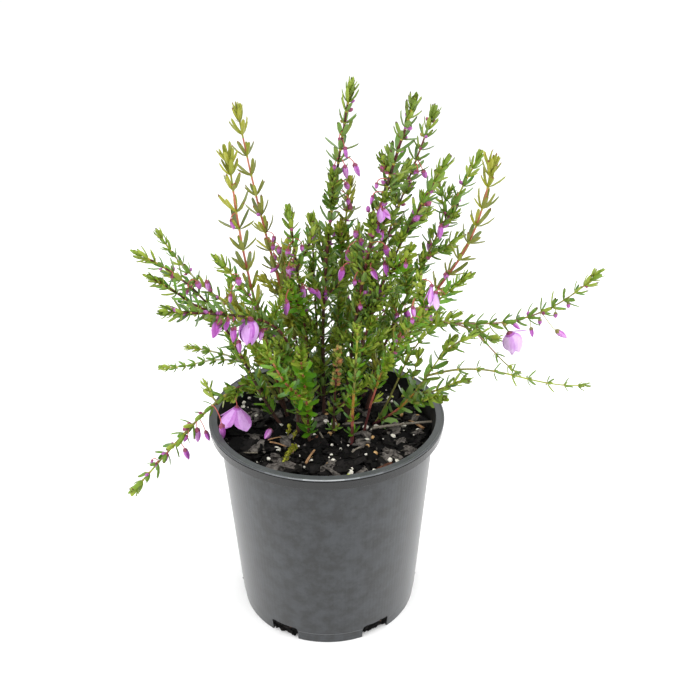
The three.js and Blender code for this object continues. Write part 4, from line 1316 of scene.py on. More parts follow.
LEAF_COLOURS = {
    "deep": {"upper": ["#44651c", "#547a22", "#688d30"], "young": ["#6a8228", "#869a34"],
             "under": "#6d8842", "point": "#4f4022"},
    "fresh": {"upper": ["#417408", "#52870b", "#659812"], "young": ["#749028", "#90a236"],
              "under": "#6b8b36", "point": "#57451c"},
    "lime": {"upper": ["#5c6c1c", "#6c7a20", "#7d8528"], "young": ["#8c922c", "#9ea036"],
             "under": "#838740", "point": "#7f5a2c"},
}
LEAF_FINISHES = {}
for tone, colours in LEAF_COLOURS.items():
    upper = [leaf_finish(f"{tone}_leaf_cuticle_{index}", colour, 0.3, 0.5)
             for index, colour in enumerate(colours["upper"])]
    young = [leaf_finish(f"{tone}_young_leaf_{index}", colour, 0.45, 0.35)
             for index, colour in enumerate(colours["young"])]
    under = leaf_finish(f"{tone}_leaf_underside", colours["under"], 0.65, 0.2)
    point = leaf_finish(f"{tone}_leaf_point", colours["point"], 0.55, 0.3)
    LEAF_FINISHES[tone] = [*upper, *young, under, point]
YOUNG, UNDER, POINT = 3, 5, 6
print("leaf finishes:", sum(len(finishes) for finishes in LEAF_FINISHES.values()))

# %% [markdown]
# Shapes drawn from a ball
# Leaves, buds and calyces are all small closed shapes with a base and a tip, so one helper serves them: a ball
# with few sides, whose rings are moved one by one to the outline wanted, as a turner would do it.

# %% Shapes drawn from a ball


def drawn_ball(sides, outline, tweak=None):
    """A ball whose rings, from base to tip along z, take each (height, radius) of an outline."""
    clear_selection()
    bpy.ops.mesh.primitive_uv_sphere_add(segments=sides, ring_count=len(outline) - 1, radius=1)
    ball = bpy.context.object
    levels = sorted({round(vertex.co.z, 4) for vertex in ball.data.vertices})
    for vertex in ball.data.vertices:
        ring = levels.index(round(vertex.co.z, 4))
        height, radius = outline[ring]
        angle = math.atan2(vertex.co.y, vertex.co.x)
        on_axis = ring in (0, len(outline) - 1)
        vertex.co = (0 if on_axis else radius * math.cos(angle), 0 if on_axis else radius * math.sin(angle), height)
        if tweak and not on_axis:
            vertex.co = tweak(Vector(vertex.co), round(angle / (2 * math.pi / sides)), ring)
    ball.data.update()
    return take_shape(ball)


# %% [markdown]
# Leaf shapes
# A leaf is a narrow oblong blade, folded a little along its midrib, blunt at the tip, and curved up and in
# towards the stem. A ball with four sides has just the corners a blade needs: two margins, a rib above and a keel
# below, closed at both ends. It is drawn out once for each amount of curl.

# %% Leaf shapes
LEAF_OUTLINE = [(0.0, 0.0), (0.06, 0.42), (0.26, 0.88), (0.62, 1.0), (0.9, 0.74), (1.0, 0.0)]
RIB_DROP = 0.1
KEEL_DROP = 0.75
CURLS = [0.5, 1.4, 2.3, 3.2]


def leaf_shape(curl):
    """A blade of length 1 along z and half width 1 along x. Its upper face looks along y."""

    def to_blade(corner, side, ring):
        height, radius = LEAF_OUTLINE[ring]
        bend = curl * height ** 2
        if side % 2 == 0:
            return (corner.x, bend, height)
        drop = RIB_DROP if corner.y > 0 else KEEL_DROP
        return (0, bend - drop * radius, height)

    shape = drawn_ball(4, LEAF_OUTLINE, to_blade)
    shape["vertices"][:, 1] += np.where(shape["vertices"][:, 2] > 0.99, curl, 0)
    return shape


LEAF_SHAPES = [leaf_shape(curl) for curl in CURLS]
for shape in LEAF_SHAPES:
    shape["is_upper"] = shape["normals"][:, 1] > 0
    shape["is_point"] = shape["centres"][:, 2] > 0.93
print("leaf faces:", len(LEAF_SHAPES[0]["faces"]), "upper:", int(LEAF_SHAPES[0]["is_upper"].sum()))

# %% [markdown]
# Leaves in whorls
# At each node the leaves stand round the stem, turned half a step from the whorl below. They stand well out on
# the older part and close up round the growing point, where they are also shorter and paler. A leaf that would
# run into the pot or the mix is left out.

# %% Leaves in whorls
LEAF_SEED = 71
LEAF_KIND_SIZE = {"main": 1.0, "side": 0.95, "twig": 0.88, "fine": 0.76}
LEAF_KIND_WIDTH = {"main": 1.0, "side": 1.05, "twig": 1.18, "fine": 1.3}
TIP_OPENING = 31
TUFT_LEAVES = {"main": 9, "side": 7, "twig": 6, "fine": 4}
TUFT_OPENING = (8, 42)
TUFT_WIDTH = 0.8
POINTED_SHARE = 0.3
FULL_LEAF = 9
AXIL_LEAVES = 3
AXIL_LEAF = (2.2, 3.6)
AXIL_LEAF_WIDTH = 0.26
AXIL_LEAF_OPENING = (25, 65)
YOUNG_SHARE = 0.2
WIDTH_SPREAD = (0.85, 1.15)
OPENING_SPREAD = (0.75, 1.25)
LENGTH_SPREAD = (0.78, 1.12)
TUFT_SPREAD = (0.75, 1.15)
TURN_SPREAD = (-0.25, 0.25)


def add_leaf(leaves, point, way, outward, opening, length, width, tone, random):
    blade = math.cos(opening) * way + math.sin(opening) * outward
    face = math.sin(opening) * way - math.cos(opening) * outward
    if not clear_of_pot(point + length * blade, 1):
        return
    side = np.cross(face, blade)
    shape = LEAF_SHAPES[random.integers(len(LEAF_SHAPES))]
    tones = np.where(shape["is_upper"] | (tone >= YOUNG), tone, UNDER)
    if random.random() < POINTED_SHARE:
        tones = np.where(shape["is_point"], POINT, tones)
    half_width = width * length * random.uniform(*WIDTH_SPREAD)
    leaves.deal(shape, point, [side * half_width, face * length / FULL_LEAF, blade * length], tones.tolist())


def add_whorl(leaves, limb, distance, turn, random):
    branch = limb["branch"]
    habit = HABITS[limb["habit"]]
    point, way, lift = branch.frame(distance)
    to_tip = min(1, (branch.length - TIP_MARGIN - distance) / TIP_STRETCH)
    opening = math.radians(lerp(TIP_OPENING, habit["opening"], to_tip ** 0.6))
    length = lerp(habit["tip_leaf"], habit["leaf"], to_tip ** 0.6) * LEAF_KIND_SIZE[limb["kind"]]
    count = random.integers(habit["leaves"][0], habit["leaves"][1] + 1)
    for leaf in range(count):
        angle = turn + leaf * 2 * math.pi / count + random.uniform(*TURN_SPREAD)
        is_young = to_tip < 0.5 or random.random() < YOUNG_SHARE
        oldest = int(limb["kind"] in ("twig", "fine"))
        tone = random.integers(YOUNG, YOUNG + 2) if is_young else random.integers(oldest, YOUNG)
        add_leaf(
            leaves, point, way, branch.out(lift, angle), opening * random.uniform(*OPENING_SPREAD),
            length * random.uniform(*LENGTH_SPREAD), habit["width"] * LEAF_KIND_WIDTH[limb["kind"]], tone, random,
        )


def add_axil_leaves(leaves, limb, distance, turn, random):
    """The tiny yellow-green leaves of the resting bud in each axil, which light up every node."""
    point, way, lift = limb["branch"].frame(distance)
    for leaf in range(AXIL_LEAVES):
        outward = limb["branch"].out(lift, turn + leaf * GOLDEN_ANGLE)
        opening = math.radians(random.uniform(*AXIL_LEAF_OPENING))
        add_leaf(leaves, point, way, outward, opening, random.uniform(*AXIL_LEAF), AXIL_LEAF_WIDTH, YOUNG + 1, random)


def add_tuft(leaves, limb, turn, random):
    """The crown of young leaves round a growing tip."""
    branch, habit = limb["branch"], HABITS[limb["habit"]]
    point, way, lift = branch.frame(branch.length - TIP_MARGIN)
    for leaf in range(TUFT_LEAVES[limb["kind"]]):
        angle = turn + leaf * GOLDEN_ANGLE
        opening = math.radians(random.uniform(*limb.get("tuft", TUFT_OPENING)))
        length = habit["tip_leaf"] * LEAF_KIND_SIZE[limb["kind"]] * random.uniform(*TUFT_SPREAD)
        tone = random.integers(YOUNG, YOUNG + 2)
        width = TUFT_WIDTH * habit["width"]
        add_leaf(leaves, point, way, branch.out(lift, angle), opening, length, width, tone, random)


foliage = {tone: Joined(f"{tone}_leaves", LEAF_FINISHES[tone]) for tone in LEAF_FINISHES}
leaf_random = np.random.default_rng(LEAF_SEED)
for limb in plant:
    turn = leaf_random.uniform(0, 2 * math.pi)
    old_tone, old_to = limb.get("tone_below", (limb["leaf"], 0))
    for distance in limb["nodes"]:
        is_old = distance < old_to * limb["branch"].length
        add_whorl(foliage[old_tone if is_old else limb["leaf"]], limb, distance, turn, leaf_random)
        add_axil_leaves(foliage[limb["leaf"]], limb, distance, turn, leaf_random)
        turn += math.pi / 4
    add_tuft(foliage[limb["leaf"]], limb, turn, leaf_random)
for tone, leaves in foliage.items():
    sprays = [f"spray_{name}" for name, shoot in SHOOTS.items() if shoot["leaf"] == tone]
    leaves.make("lime_foliage" if tone == "lime" else "green_foliage", sprays, crease=35)

# %% [markdown]
# Blossom finishes
# The buds are deep magenta-violet, with paler streaks where one petal folds over the next; the open bells are a
# clear lilac, nearly white where the light comes through. Petals are thin and soft, so they have no sharp gloss
# but a slight sheen, and fine veins that run from base to tip. The sepals are dark maroon and the stalks coral
# red or pale green. The dark stamens are the black eye of the plant's name.

# %% Blossom finishes
PETAL_SKIN = {"mottle_size": 1.0, "bump_size": 1.0, "bump_depth": 0.08, "roughness": 0.5, "specular": 0.3,
              "sheen": 0.25, "stretch": 6}
SEPAL_SKIN = {**PETAL_SKIN, "roughness": 0.55, "sheen": 0.1}
PETAL_COLOURS = {
    "bud_deep": ("deep_bud_petal", "#b254b4", "#8f3b94"),
    "bud": ("bud_petal", "#be6cc1", "#a351a9"),
    "bud_light": ("bud_petal_streak", "#d499d6", "#bd76c2"),
    # The bell tones are one lilac in lit and shaded copies: painted shade at the edges and base, painted light in the
    # middle.
    "petal_shade": ("bell_petal_painted_shade", "#b968c4", "#a052b0"),
    "petal": ("bell_petal", "#cb86d6", "#b971c8"),
    "petal_light": ("bell_petal_painted_light", "#dba9e8", "#ca92da"),
    "petal_pale": ("palest_bell_petal", "#e0c0e8", "#cda6d9"),
}
SEPAL_COLOURS = {
    "calyx": ("maroon_sepal", "#984a66", "#74344c"),
    "calyx_green": ("olive_sepal", "#949050", "#766a3c"),
    "stalk_red": ("coral_flower_stalk", "#c8695f", "#a9504b"),
    "stalk_green": ("pale_green_flower_stalk", "#b3b478", "#94985a"),
    "anther": ("dark_anther", "#3a1c3c", "#1d0d20"),
    "axil_violet": ("young_bud", "#bd6fb8", "#995095"),
    "axil_maroon": ("young_bud_in_sepals", "#a25476", "#7d3b59"),
    "axil_green": ("green_bud", "#a79a52", "#857a3a"),
    "axil_rust": ("rust_bud", "#b97f4c", "#945c3c"),
    "axil_olive": ("olive_bud", "#9c8c48", "#7c6a34"),
}
BLOSSOM_TONES = {
    **{tone: mottled(*colours, **PETAL_SKIN) for tone, colours in PETAL_COLOURS.items()},
    **{tone: mottled(*colours, **SEPAL_SKIN) for tone, colours in SEPAL_COLOURS.items()},
}
BLOSSOM_ORDER = {tone: index for index, tone in enumerate(BLOSSOM_TONES)}

# %% [markdown]
# Buds, sepals and petals
# A bud is four petals rolled round each other: a pointed ball with eight sides, with a shallow furrow at every
# second one. Its calyx is a cap whose rim is drawn out to four points. A petal of an open bell is a grid that is
# bent round the flower's axis, so four of them overlap into a cup or flare out, and Solidify gives it its
# thickness.

# %% Shapes of buds, sepals and petals
BUD_OUTLINE = [(0.0, 0.0), (0.06, 0.45), (0.2, 0.84), (0.4, 1.0), (0.62, 0.88), (0.82, 0.54), (0.94, 0.24), (1.0, 0.0)]
CALYX_OUTLINE = [(-0.05, 0.0), (0.0, 0.4), (0.14, 0.7), (0.3, 0.92), (0.16, 0.0)]
YOUNG_OUTLINE = [(0.0, 0.0), (0.15, 0.7), (0.45, 1.0), (0.8, 0.65), (1.0, 0.0)]
FURROW = 0.86
SEPAL_POINT = 0.16
PETAL_GRID = 8
PETAL_THICKNESS = 0.035
PETAL_SKEW = 0.06
PETAL_SHOULDER = 0.05
CUP = {
    "radii": [0.12, 0.52, 0.82, 0.97, 1.0, 0.95, 0.84, 0.66, 0.44],
    "spans": [75, 70, 66, 62, 60, 57, 51, 40, 14],
}
FLARE = {
    "radii": [0.1, 0.26, 0.42, 0.58, 0.74, 0.9, 1.04, 1.15, 1.22],
    "spans": [60, 56, 52, 50, 48, 45, 38, 24, 4],
}


def pointed_sepals(corner, side, ring):
    if ring == 3:
        corner.z += SEPAL_POINT if side % 2 else -0.5 * SEPAL_POINT
    return corner


def furrowed_bud(corner, side, ring):
    factor = FURROW if side % 2 == 0 and ring > 1 else 1
    return (corner.x * factor, corner.y * factor, corner.z)


def petal_shape(form):
    """A petal bent round the z axis: across is its place from margin to margin, along from base to tip."""
    clear_selection()
    bpy.ops.mesh.primitive_grid_add(x_subdivisions=PETAL_GRID, y_subdivisions=PETAL_GRID, size=2)
    petal = bpy.context.object
    steps = np.linspace(0, 1, len(form["radii"]))
    for vertex in petal.data.vertices:
        across, along = vertex.co.x, (vertex.co.y + 1) / 2
        radius = np.interp(along, steps, form["radii"])
        angle = across * math.radians(np.interp(along, steps, form["spans"]))
        radius *= 1 + PETAL_SKEW * across
        height = along * (1 - PETAL_SHOULDER * across ** 2)
        vertex.co = (radius * math.sin(angle), radius * math.cos(angle), height)
    bpy.ops.object.mode_set(mode="EDIT")
    bpy.ops.mesh.select_all(action="SELECT")
    bpy.ops.mesh.normals_make_consistent(inside=False)
    bpy.ops.object.mode_set(mode="OBJECT")
    apply_modifier(petal, "SOLIDIFY", thickness=PETAL_THICKNESS, offset=0)
    return take_shape(petal)


BUD = drawn_ball(8, BUD_OUTLINE, furrowed_bud)
CALYX = drawn_ball(8, CALYX_OUTLINE, pointed_sepals)
YOUNG_BUD = drawn_ball(6, YOUNG_OUTLINE)
PETALS = {"cup": petal_shape(CUP), "flare": petal_shape(FLARE)}
print("faces of a bud:", len(BUD["faces"]), "of a petal:", len(PETALS["cup"]["faces"]))

# %% [markdown]
# Where the buds hang
# The photograph shows each bud as a base and a tip. On its own a pixel is only a direction, so every bud is tied
# to the shoot that carries it: the nearest point of that shoot's limbs gives the depth, the bud hangs 2 mm in
# front of it, and a thin stalk joins the two. So each one also sits on its shoot when seen from the side.

# %% Limb points and their pixels
SAMPLE_STEP = 2
NEAR_PIXELS = 12
FAR_PIXELS = 14
FRONT_WEIGHT = 0.35

limb_points, limb_owners = [], []
for limb in plant:
    start = LEAFLESS_SHARE * limb["from"] if limb["kind"] == "main" else 2
    distances = np.arange(start, limb["branch"].length - TIP_MARGIN, SAMPLE_STEP)
    limb_points.append(limb["branch"].frames(distances)[0])
    limb_owners.extend([limb["shoot"]] * len(distances))
limb_points = np.concatenate(limb_points)
limb_owners = np.array(limb_owners)
limb_pixels = pixels_of(limb_points)


def carrier_point(pixel, shoot=None):
    """The limb point that carries a bud: near the pixel, and in front where several limbs pass behind it."""
    gaps = np.linalg.norm(limb_pixels - np.array(pixel), axis=1)
    own_gaps = np.where(limb_owners == shoot, gaps, 1e6)
    if own_gaps.min() < FAR_PIXELS:
        return limb_points[own_gaps.argmin()]
    if gaps.min() > NEAR_PIXELS:
        return limb_points[gaps.argmin()]
    costs = np.where(gaps < NEAR_PIXELS, gaps + FRONT_WEIGHT * limb_points[:, 1], 1e6)
    return limb_points[costs.argmin()]


print("limb points:", len(limb_points))

# %% [markdown]
# Buds and bells on their stalks
# The table gives what the photograph shows: pixels of the base and the tip, and for long stalks the pixel they
# start from. Buds are grouped by the shoot that carries them, and those in the crowded middle take the nearest
# limb.

# %% Table of buds and bells


def flower(base_u, base_v, tip_u, tip_v, **more):
    return {"base": (base_u, base_v), "tip": (tip_u, tip_v), **more}


FLOWERS = {
    "left_front_arm": [
        flower(219.7, 319.2, 212.7, 338.7),
        flower(227.6, 317.7, 225.3, 331.4),
        flower(233.7, 326.5, 233.1, 342.5),
        flower(238.7, 340.2, 239.8, 353.6),
        flower(262.4, 329.4, 260, 341),
        flower(222, 312.5, 215, 313.5),
        flower(209, 313, 203, 311),
        flower(250.2, 318.6, 248.4, 343.6, form="cup", width=18.5, turn=20),
    ],
    "left_drooping_arm": [
        flower(237, 406.8, 235.6, 423.6, form="flare", width=27, turn=45),
        flower(221.6, 424.3, 223.4, 438.7, front=16),
        flower(205.5, 430.8, 209.5, 441),
        flower(197, 428.2, 197.8, 442.5),
        flower(187.5, 435.5, 183.8, 442.1),
        flower(187.5, 427.5, 182.4, 430.4),
        flower(184.6, 448.7, 189, 459.8, hangs_from=(180.2, 442.9)),
        flower(167, 453.2, 164.4, 463.1),
        flower(152.4, 459.7, 151.4, 463.2),
        flower(156, 463, 155.2, 466.9),
    ],
    "left_lime_spire": [
        flower(231, 219, 234, 230),
    ],
    "left_arm": [
        flower(172.9, 274, 172, 281),
        flower(188, 289, 182.5, 295.5),
        flower(196.5, 281.5, 200.5, 289.5),
        flower(230.6, 294, 230, 304),
        flower(238.6, 277, 238.8, 286),
    ],
    "centre_spire": [
        flower(344.6, 147.2, 346.9, 159),
        flower(354.3, 163.3, 359.7, 176.8, hangs_from=(341.3, 159)),
        flower(344.6, 165.1, 346.9, 178.9, hangs_from=(340.8, 160)),
        flower(345.4, 182.4, 348.5, 190.1, hangs_from=(337.8, 184.5)),
        flower(339.3, 137.6, 340.3, 143.6),
        flower(334.7, 164.7, 333.7, 171),
        flower(348, 198.3, 348.5, 205),
        flower(349.5, 203.4, 350.8, 211.5),
        flower(314.6, 230.1, 308.9, 245.4, hangs_from=(318.5, 225)),
    ],
    "right_dark_spire": [
        flower(382.1, 171.7, 381.4, 165.1),
        flower(373, 195.2, 370.4, 204.9),
        flower(368.4, 212, 367.9, 205.4),
        flower(377, 182.5, 376, 189),
        flower(380.5, 205, 388, 203),
        flower(382, 208.3, 390.4, 216),
        flower(381.5, 206, 382.5, 220, form="flare", width=13, turn=20),
        flower(378, 223, 378.4, 235),
        flower(382, 230, 382, 241),
        flower(369, 234, 374.8, 235.5),
        flower(356, 230.5, 355.5, 239),
        flower(360.7, 238.8, 363.9, 253.4, hangs_from=(364.4, 228.7)),
        flower(385.1, 245.7, 389.7, 260, hangs_from=(377, 245.7)),
        flower(385.1, 261.7, 387.4, 276.1, hangs_from=(370.2, 252.6)),
        flower(371, 268.4, 377.9, 280),
        flower(379.4, 285.3, 384.2, 301.3, hangs_from=(370.2, 274.4)),
        flower(361.6, 295.5, 367.9, 291),
        flower(347.8, 250.3, 348.4, 264.6),
        flower(342.9, 267.2, 339.5, 281.5, hangs_from=(353, 265.2)),
    ],
    "right_bud_spray": [
        flower(396.6, 313, 397.3, 324),
        flower(405.1, 308.6, 410, 322.2),
        flower(412.7, 306.4, 414.7, 317.3),
        flower(412, 318, 412.6, 324),
        flower(426.1, 310.5, 432.3, 321.3, hangs_from=(408.9, 306.2)),
    ],
    "right_short_spray": [
        flower(431.8, 285, 429.8, 302, form="flare", width=8, turn=10),
        flower(436.5, 292, 434, 308, form="flare", width=9, turn=70, pale=True),
        flower(445, 273, 447.2, 280.2),
    ],
    "right_rear_spire": [
        flower(425.4, 205.3, 431.8, 201.5),
        flower(412.8, 221, 420.2, 215.7),
        flower(417.5, 170, 414.5, 177.5),
        flower(423, 170.5, 426.5, 178.5),
        flower(411, 183, 409.5, 189.5),
    ],
    "right_plume": [
        flower(440.9, 226.3, 449.3, 224.3),
        flower(457.5, 197, 460.5, 202),
    ],
    "long_right_arm": [
        flower(509, 332.5, 516.5, 352, form="cup", width=18.5, turn=65, pale=True, hangs_from=(500.9, 321.1)),
        flower(510, 331.5, 530.5, 335.5, form="flare", width=9, turn=80, pale=True, petals=1,
               hangs_from=(500.9, 321.1)),
        flower(509, 334, 512.5, 353.5, form="flare", width=9, turn=200, pale=True, hangs_from=(500.9, 321.1), petals=1),
        flower(511.9, 321.9, 520.3, 329.6),
        flower(531, 327.4, 532.4, 337.3),
        flower(555.9, 330.3, 566.9, 338, hangs_from=(542.7, 324.8)),
        flower(539.8, 319.1, 539.8, 325),
        flower(555.5, 312.3, 555.5, 318.3),
        flower(568.4, 302.4, 568.4, 308.4),
    ],
    None: [
        flower(279.2, 246.8, 279.2, 254.8, round=True),
        flower(287.9, 249, 287.9, 257, round=True),
        flower(273.2, 244.3, 273.2, 250.8),
        flower(274.8, 255.2, 274.8, 261.7),
        flower(273.8, 236, 273.8, 242.5),
        flower(301.9, 245, 301.9, 251.5),
        flower(288.5, 266.4, 290.4, 275.7, round=True),
        flower(288.5, 273.3, 288.5, 280.3),
        flower(278.3, 265.5, 270, 273.2),
        flower(302.5, 286, 305.1, 298.3),
        flower(308.3, 288.4, 317.4, 294.2),
        flower(285.9, 299.3, 286.3, 315.6, hangs_from=(293.6, 288.1)),
        flower(316, 289, 320.5, 299.5),
        flower(325.5, 290, 326.5, 300.5),
        flower(354.7, 255.9, 354.7, 262.4),
        flower(354.7, 279.4, 354.7, 285.9),
        flower(360.4, 304.1, 360.4, 310.6),
        flower(333.4, 230.6, 333.4, 237.1),
        flower(340.9, 231.2, 340.9, 237.7),
        flower(429.9, 258, 423.7, 259),
        flower(405.8, 262.2, 405.8, 268.7),
    ],
}
print("buds and bells from the photograph:", sum(len(group) for group in FLOWERS.values()))

# %% [markdown]
# Dealing out the blossom
# A bud longer than 5 mm has a calyx over its top; a shorter one is still shut in its sepals, dark and round. The
# stalk is a thin tube on a curve that leaves the stem upwards and comes down into the bud. Bells hang from the
# same stalks, with four petals and the ring of dark stamens inside.

# %% Buds and bells
FLOWER_SEED = 23
IN_FRONT = 2.0
SHORT_BUD = 5.2
CALYX_SHARE = 0.55
BUD_WIDTH = 0.215
ROUND_BUD_WIDTH = 0.36
STALK_RADIUS = 0.28
STALK_SIDES = 5
STALK_STEPS = 8
PIXEL_DROP = 6
STAMENS = 8
PETAL_LENGTHS = (0.94, 1.03)
PETAL_LEANS = (0.95, 1.08)
FALLEN_BUD = flower(270.8, 429.7, 264.7, 438.9)


def tube(points, radii, sides):
    """Vertices and faces of a thin closed tube along some points."""
    ways = np.gradient(points, axis=0)
    ways /= np.linalg.norm(ways, axis=1)[:, None]
    across = np.cross(ways, unit(np.array([0.31, 0.92, 0.23])))
    across /= np.linalg.norm(across, axis=1)[:, None]
    rings = np.repeat(radii[:, None], sides, axis=1)
    vertices = tube_vertices(points, rings, across[:, None, :], np.cross(ways, across))
    return vertices, tube_faces(len(points), sides)


def axes_along(way, turn):
    """Two directions across a way, turned round it, and the way itself."""
    side = unit(np.cross(way, toward_camera if abs(way @ toward_camera) < 0.95 else UP))
    face = np.cross(way, side)
    turned = math.cos(turn) * side + math.sin(turn) * face
    return turned, np.cross(way, turned), way


def add_stalk(blossom, start, end, way, tone):
    length = np.linalg.norm(end - start)
    handles = [start, start + 0.35 * length * UP + 0.2 * (end - start), end - 0.4 * length * way, end]
    points = bezier(handles, np.linspace(0, 1, STALK_STEPS)[:, None])
    vertices, faces = tube(points, np.full(STALK_STEPS, STALK_RADIUS), STALK_SIDES)
    blossom.add(vertices, faces, [BLOSSOM_ORDER[tone]] * len(faces))


def bud_tones(random):
    """Four petals: two in the bud's main tone, one deeper and one streaked."""
    order = random.permutation(["bud", "bud", "bud_deep", "bud_light"])
    angles = np.arctan2(BUD["centres"][:, 1], BUD["centres"][:, 0]) % (2 * math.pi)
    petals = (angles // (math.pi / 2)).astype(int) % 4
    return [BLOSSOM_ORDER[order[petal]] for petal in petals]


def add_bud(blossom, base, way, length, width, random, calyx="calyx"):
    side, face, way = axes_along(way, random.uniform(0, math.pi))
    axes = [side * width, face * width, way * length]
    if length < SHORT_BUD:
        tone = random.choice(["axil_violet", "axil_violet", "axil_maroon"])
        blossom.deal_plain(YOUNG_BUD, base, axes, BLOSSOM_ORDER[tone])
    else:
        blossom.deal(BUD, base, axes, bud_tones(random))
    cap = [side * width, face * width, way * length * CALYX_SHARE]
    blossom.deal_plain(CALYX, base - 0.02 * length * way, cap, BLOSSOM_ORDER[calyx])


# The middle of each petal takes painted light and its edges and base painted shade; pale bells take the palest tone in
# the middle.
def petal_tones(shape, pale):
    across = np.abs(np.arctan2(shape["centres"][:, 0], shape["centres"][:, 1])) / math.radians(60)
    along = shape["centres"][:, 2]
    names = np.where(across < 0.4, "petal_light", np.where(across < 0.8, "petal", "petal_shade"))
    if pale:
        names = np.where(across < 0.6, "petal_pale", "petal_light")
    names = np.where(along < 0.15, "petal_shade", names)
    return [BLOSSOM_ORDER[str(name)] for name in names]


def add_bell(blossom, base, way, length, width, bloom, random):
    shape = PETALS[bloom["form"]]
    tones = petal_tones(shape, bloom.get("pale", False))
    for petal in range(bloom.get("petals", 4)):
        turn = math.radians(bloom["turn"]) + petal * math.pi / 2
        side, face, along = axes_along(way, turn)
        size = length * random.uniform(*PETAL_LENGTHS)
        lean = random.uniform(*PETAL_LEANS) * (1 + 0.05 * (petal % 2))
        blossom.deal(shape, base, [side * width * lean, face * width * lean, along * size], tones)
    if bloom.get("petals"):
        return
    for stamen in range(STAMENS):
        side, face, along = axes_along(way, stamen * 2 * math.pi / STAMENS)
        place = base + 0.3 * length * along + 0.14 * width * side
        axes = [side * 0.35, face * 0.35, along * 0.35 * length]
        blossom.deal_plain(YOUNG_BUD, place, axes, BLOSSOM_ORDER["anther"])
    side, face, along = axes_along(way, 0.3)
    cap = [side * 0.16 * length, face * 0.16 * length, along * 0.35 * length]
    blossom.deal_plain(CALYX, base - 0.06 * length * along, cap, BLOSSOM_ORDER["calyx"])


def add_flower(blossom, shoot, bloom, random):
    above = bloom.get("hangs_from", (bloom["base"][0], bloom["base"][1] - PIXEL_DROP))
    start = carrier_point(above, shoot)
    depth = start[1] - bloom.get("front", IN_FRONT)
    base, tip = point_seen_at(bloom["base"], depth), point_seen_at(bloom["tip"], depth)
    length = np.linalg.norm(tip - base)
    way = unit(tip - base)
    tone = "stalk_green" if shoot == "long_right_arm" else "stalk_red"
    add_stalk(blossom, start, base, way, tone)
    if "form" in bloom:
        pixel_size = np.linalg.norm(camera_place - base) / FOCAL_PIXELS
        add_bell(blossom, base, way, length, 0.5 * bloom["width"] * pixel_size, bloom, random)
    else:
        share = ROUND_BUD_WIDTH if bloom.get("round") or length < SHORT_BUD else BUD_WIDTH
        calyx = "calyx_green" if shoot == "long_right_arm" else "calyx"
        add_bud(blossom, base, way, length, share * length, random, calyx)


blossom = Joined("buds_and_bells", list(BLOSSOM_TONES.values()))
flower_random = np.random.default_rng(FLOWER_SEED)
for shoot, flowers in FLOWERS.items():
    for bloom in flowers:
        add_flower(blossom, shoot, bloom, flower_random)
fallen_base, fallen_tip = (point_on_level(FALLEN_BUD[end], MIX_TOP + 4) for end in ("base", "tip"))
fallen_length = np.linalg.norm(fallen_tip - fallen_base)
add_bud(blossom, fallen_base, unit(fallen_tip - fallen_base), fallen_length, BUD_WIDTH * fallen_length, flower_random)
blossom.make("green_foliage", crease=50)

# %% [markdown]
# Young buds in the axils
# The upper nodes of the flowering shoots carry one or two buds no bigger than a grain of rice, on stalks so
# short that they seem to sit in the leaf axils. They follow the nodes by a seeded rule, and the tiny spike in
# front has close rings of rust, olive and green ones. The shoots at the back, which the photograph hides, get a
# few hanging buds by the same rule.

# %% Axil buds
AXIL_SEED = 61
AXIL_RANGES = {
    "centre_spire": (0.5, 0.97), "right_dark_spire": (0.42, 0.96), "right_rear_spire": (0.4, 0.96),
    "right_bud_spray": (0.4, 0.9), "right_plume": (0.4, 0.9), "right_short_spray": (0.4, 0.85),
    "left_arm": (0.5, 0.9), "left_high_plume": (0.5, 0.85), "left_upper_spray": (0.5, 0.85),
    "left_front_arm": (0.5, 0.95), "left_drooping_arm": (0.5, 0.95), "long_right_arm": (0.6, 0.95),
    "centre_left_spray": (0.5, 0.9), "centre_rear_spray": (0.5, 0.9), "centre_lime_spray": (0.5, 0.9),
    "back_centre": (0.5, 0.9), "back_high": (0.4, 0.9),
    "back_right": (0.5, 0.9), "back_left": (0.5, 0.9), "left_rear_spire": (0.45, 0.7),
}
AXIL_TONES = ["axil_violet", "axil_violet", "axil_maroon", "axil_maroon", "axil_green"]
AXIL_SHARE = 0.58
AXIL_SIZE = (2.0, 3.4)
AXIL_CHANCES = 2
BACK_BUD_SHOOTS = ["back_high", "back_centre", "back_right", "back_left", "right_plume", "left_high_plume"]
BACK_BUD_SHARE = 0.3
HANGING_REACH = (3, 6)
HANGING_DROP = (2, 4)
HANGING_LENGTH = (7, 9.5)
SPIKE_RANGE = (0.56, 0.97)
SPIKE_STEP = 0.045
SPIKE_RING = 4
SPIKE_REACHES = (0.3, 0.8)
SPIKE_TONES = ["axil_rust", "axil_olive", "axil_olive", "axil_green"]
SPIKE_ROUNDNESS = 0.36


def add_axil_bud(blossom, limb, distance, tones, random, share=0.36, reaches=(0.7, 1.4)):
    point, way, lift = limb["branch"].frame(distance)
    outward = limb["branch"].out(lift, random.uniform(0, 2 * math.pi))
    reach = random.uniform(*reaches)
    length = random.uniform(*AXIL_SIZE)
    direction = unit(outward + 0.5 * way)
    side, face, along = axes_along(direction, 0)
    width = share * length
    tone = BLOSSOM_ORDER[random.choice(tones)]
    axes = [side * width, face * width, along * length]
    blossom.deal_plain(YOUNG_BUD, point + reach * direction, axes, tone)
    add_stalk(blossom, point, point + (reach + 0.3) * direction, direction, "stalk_red")


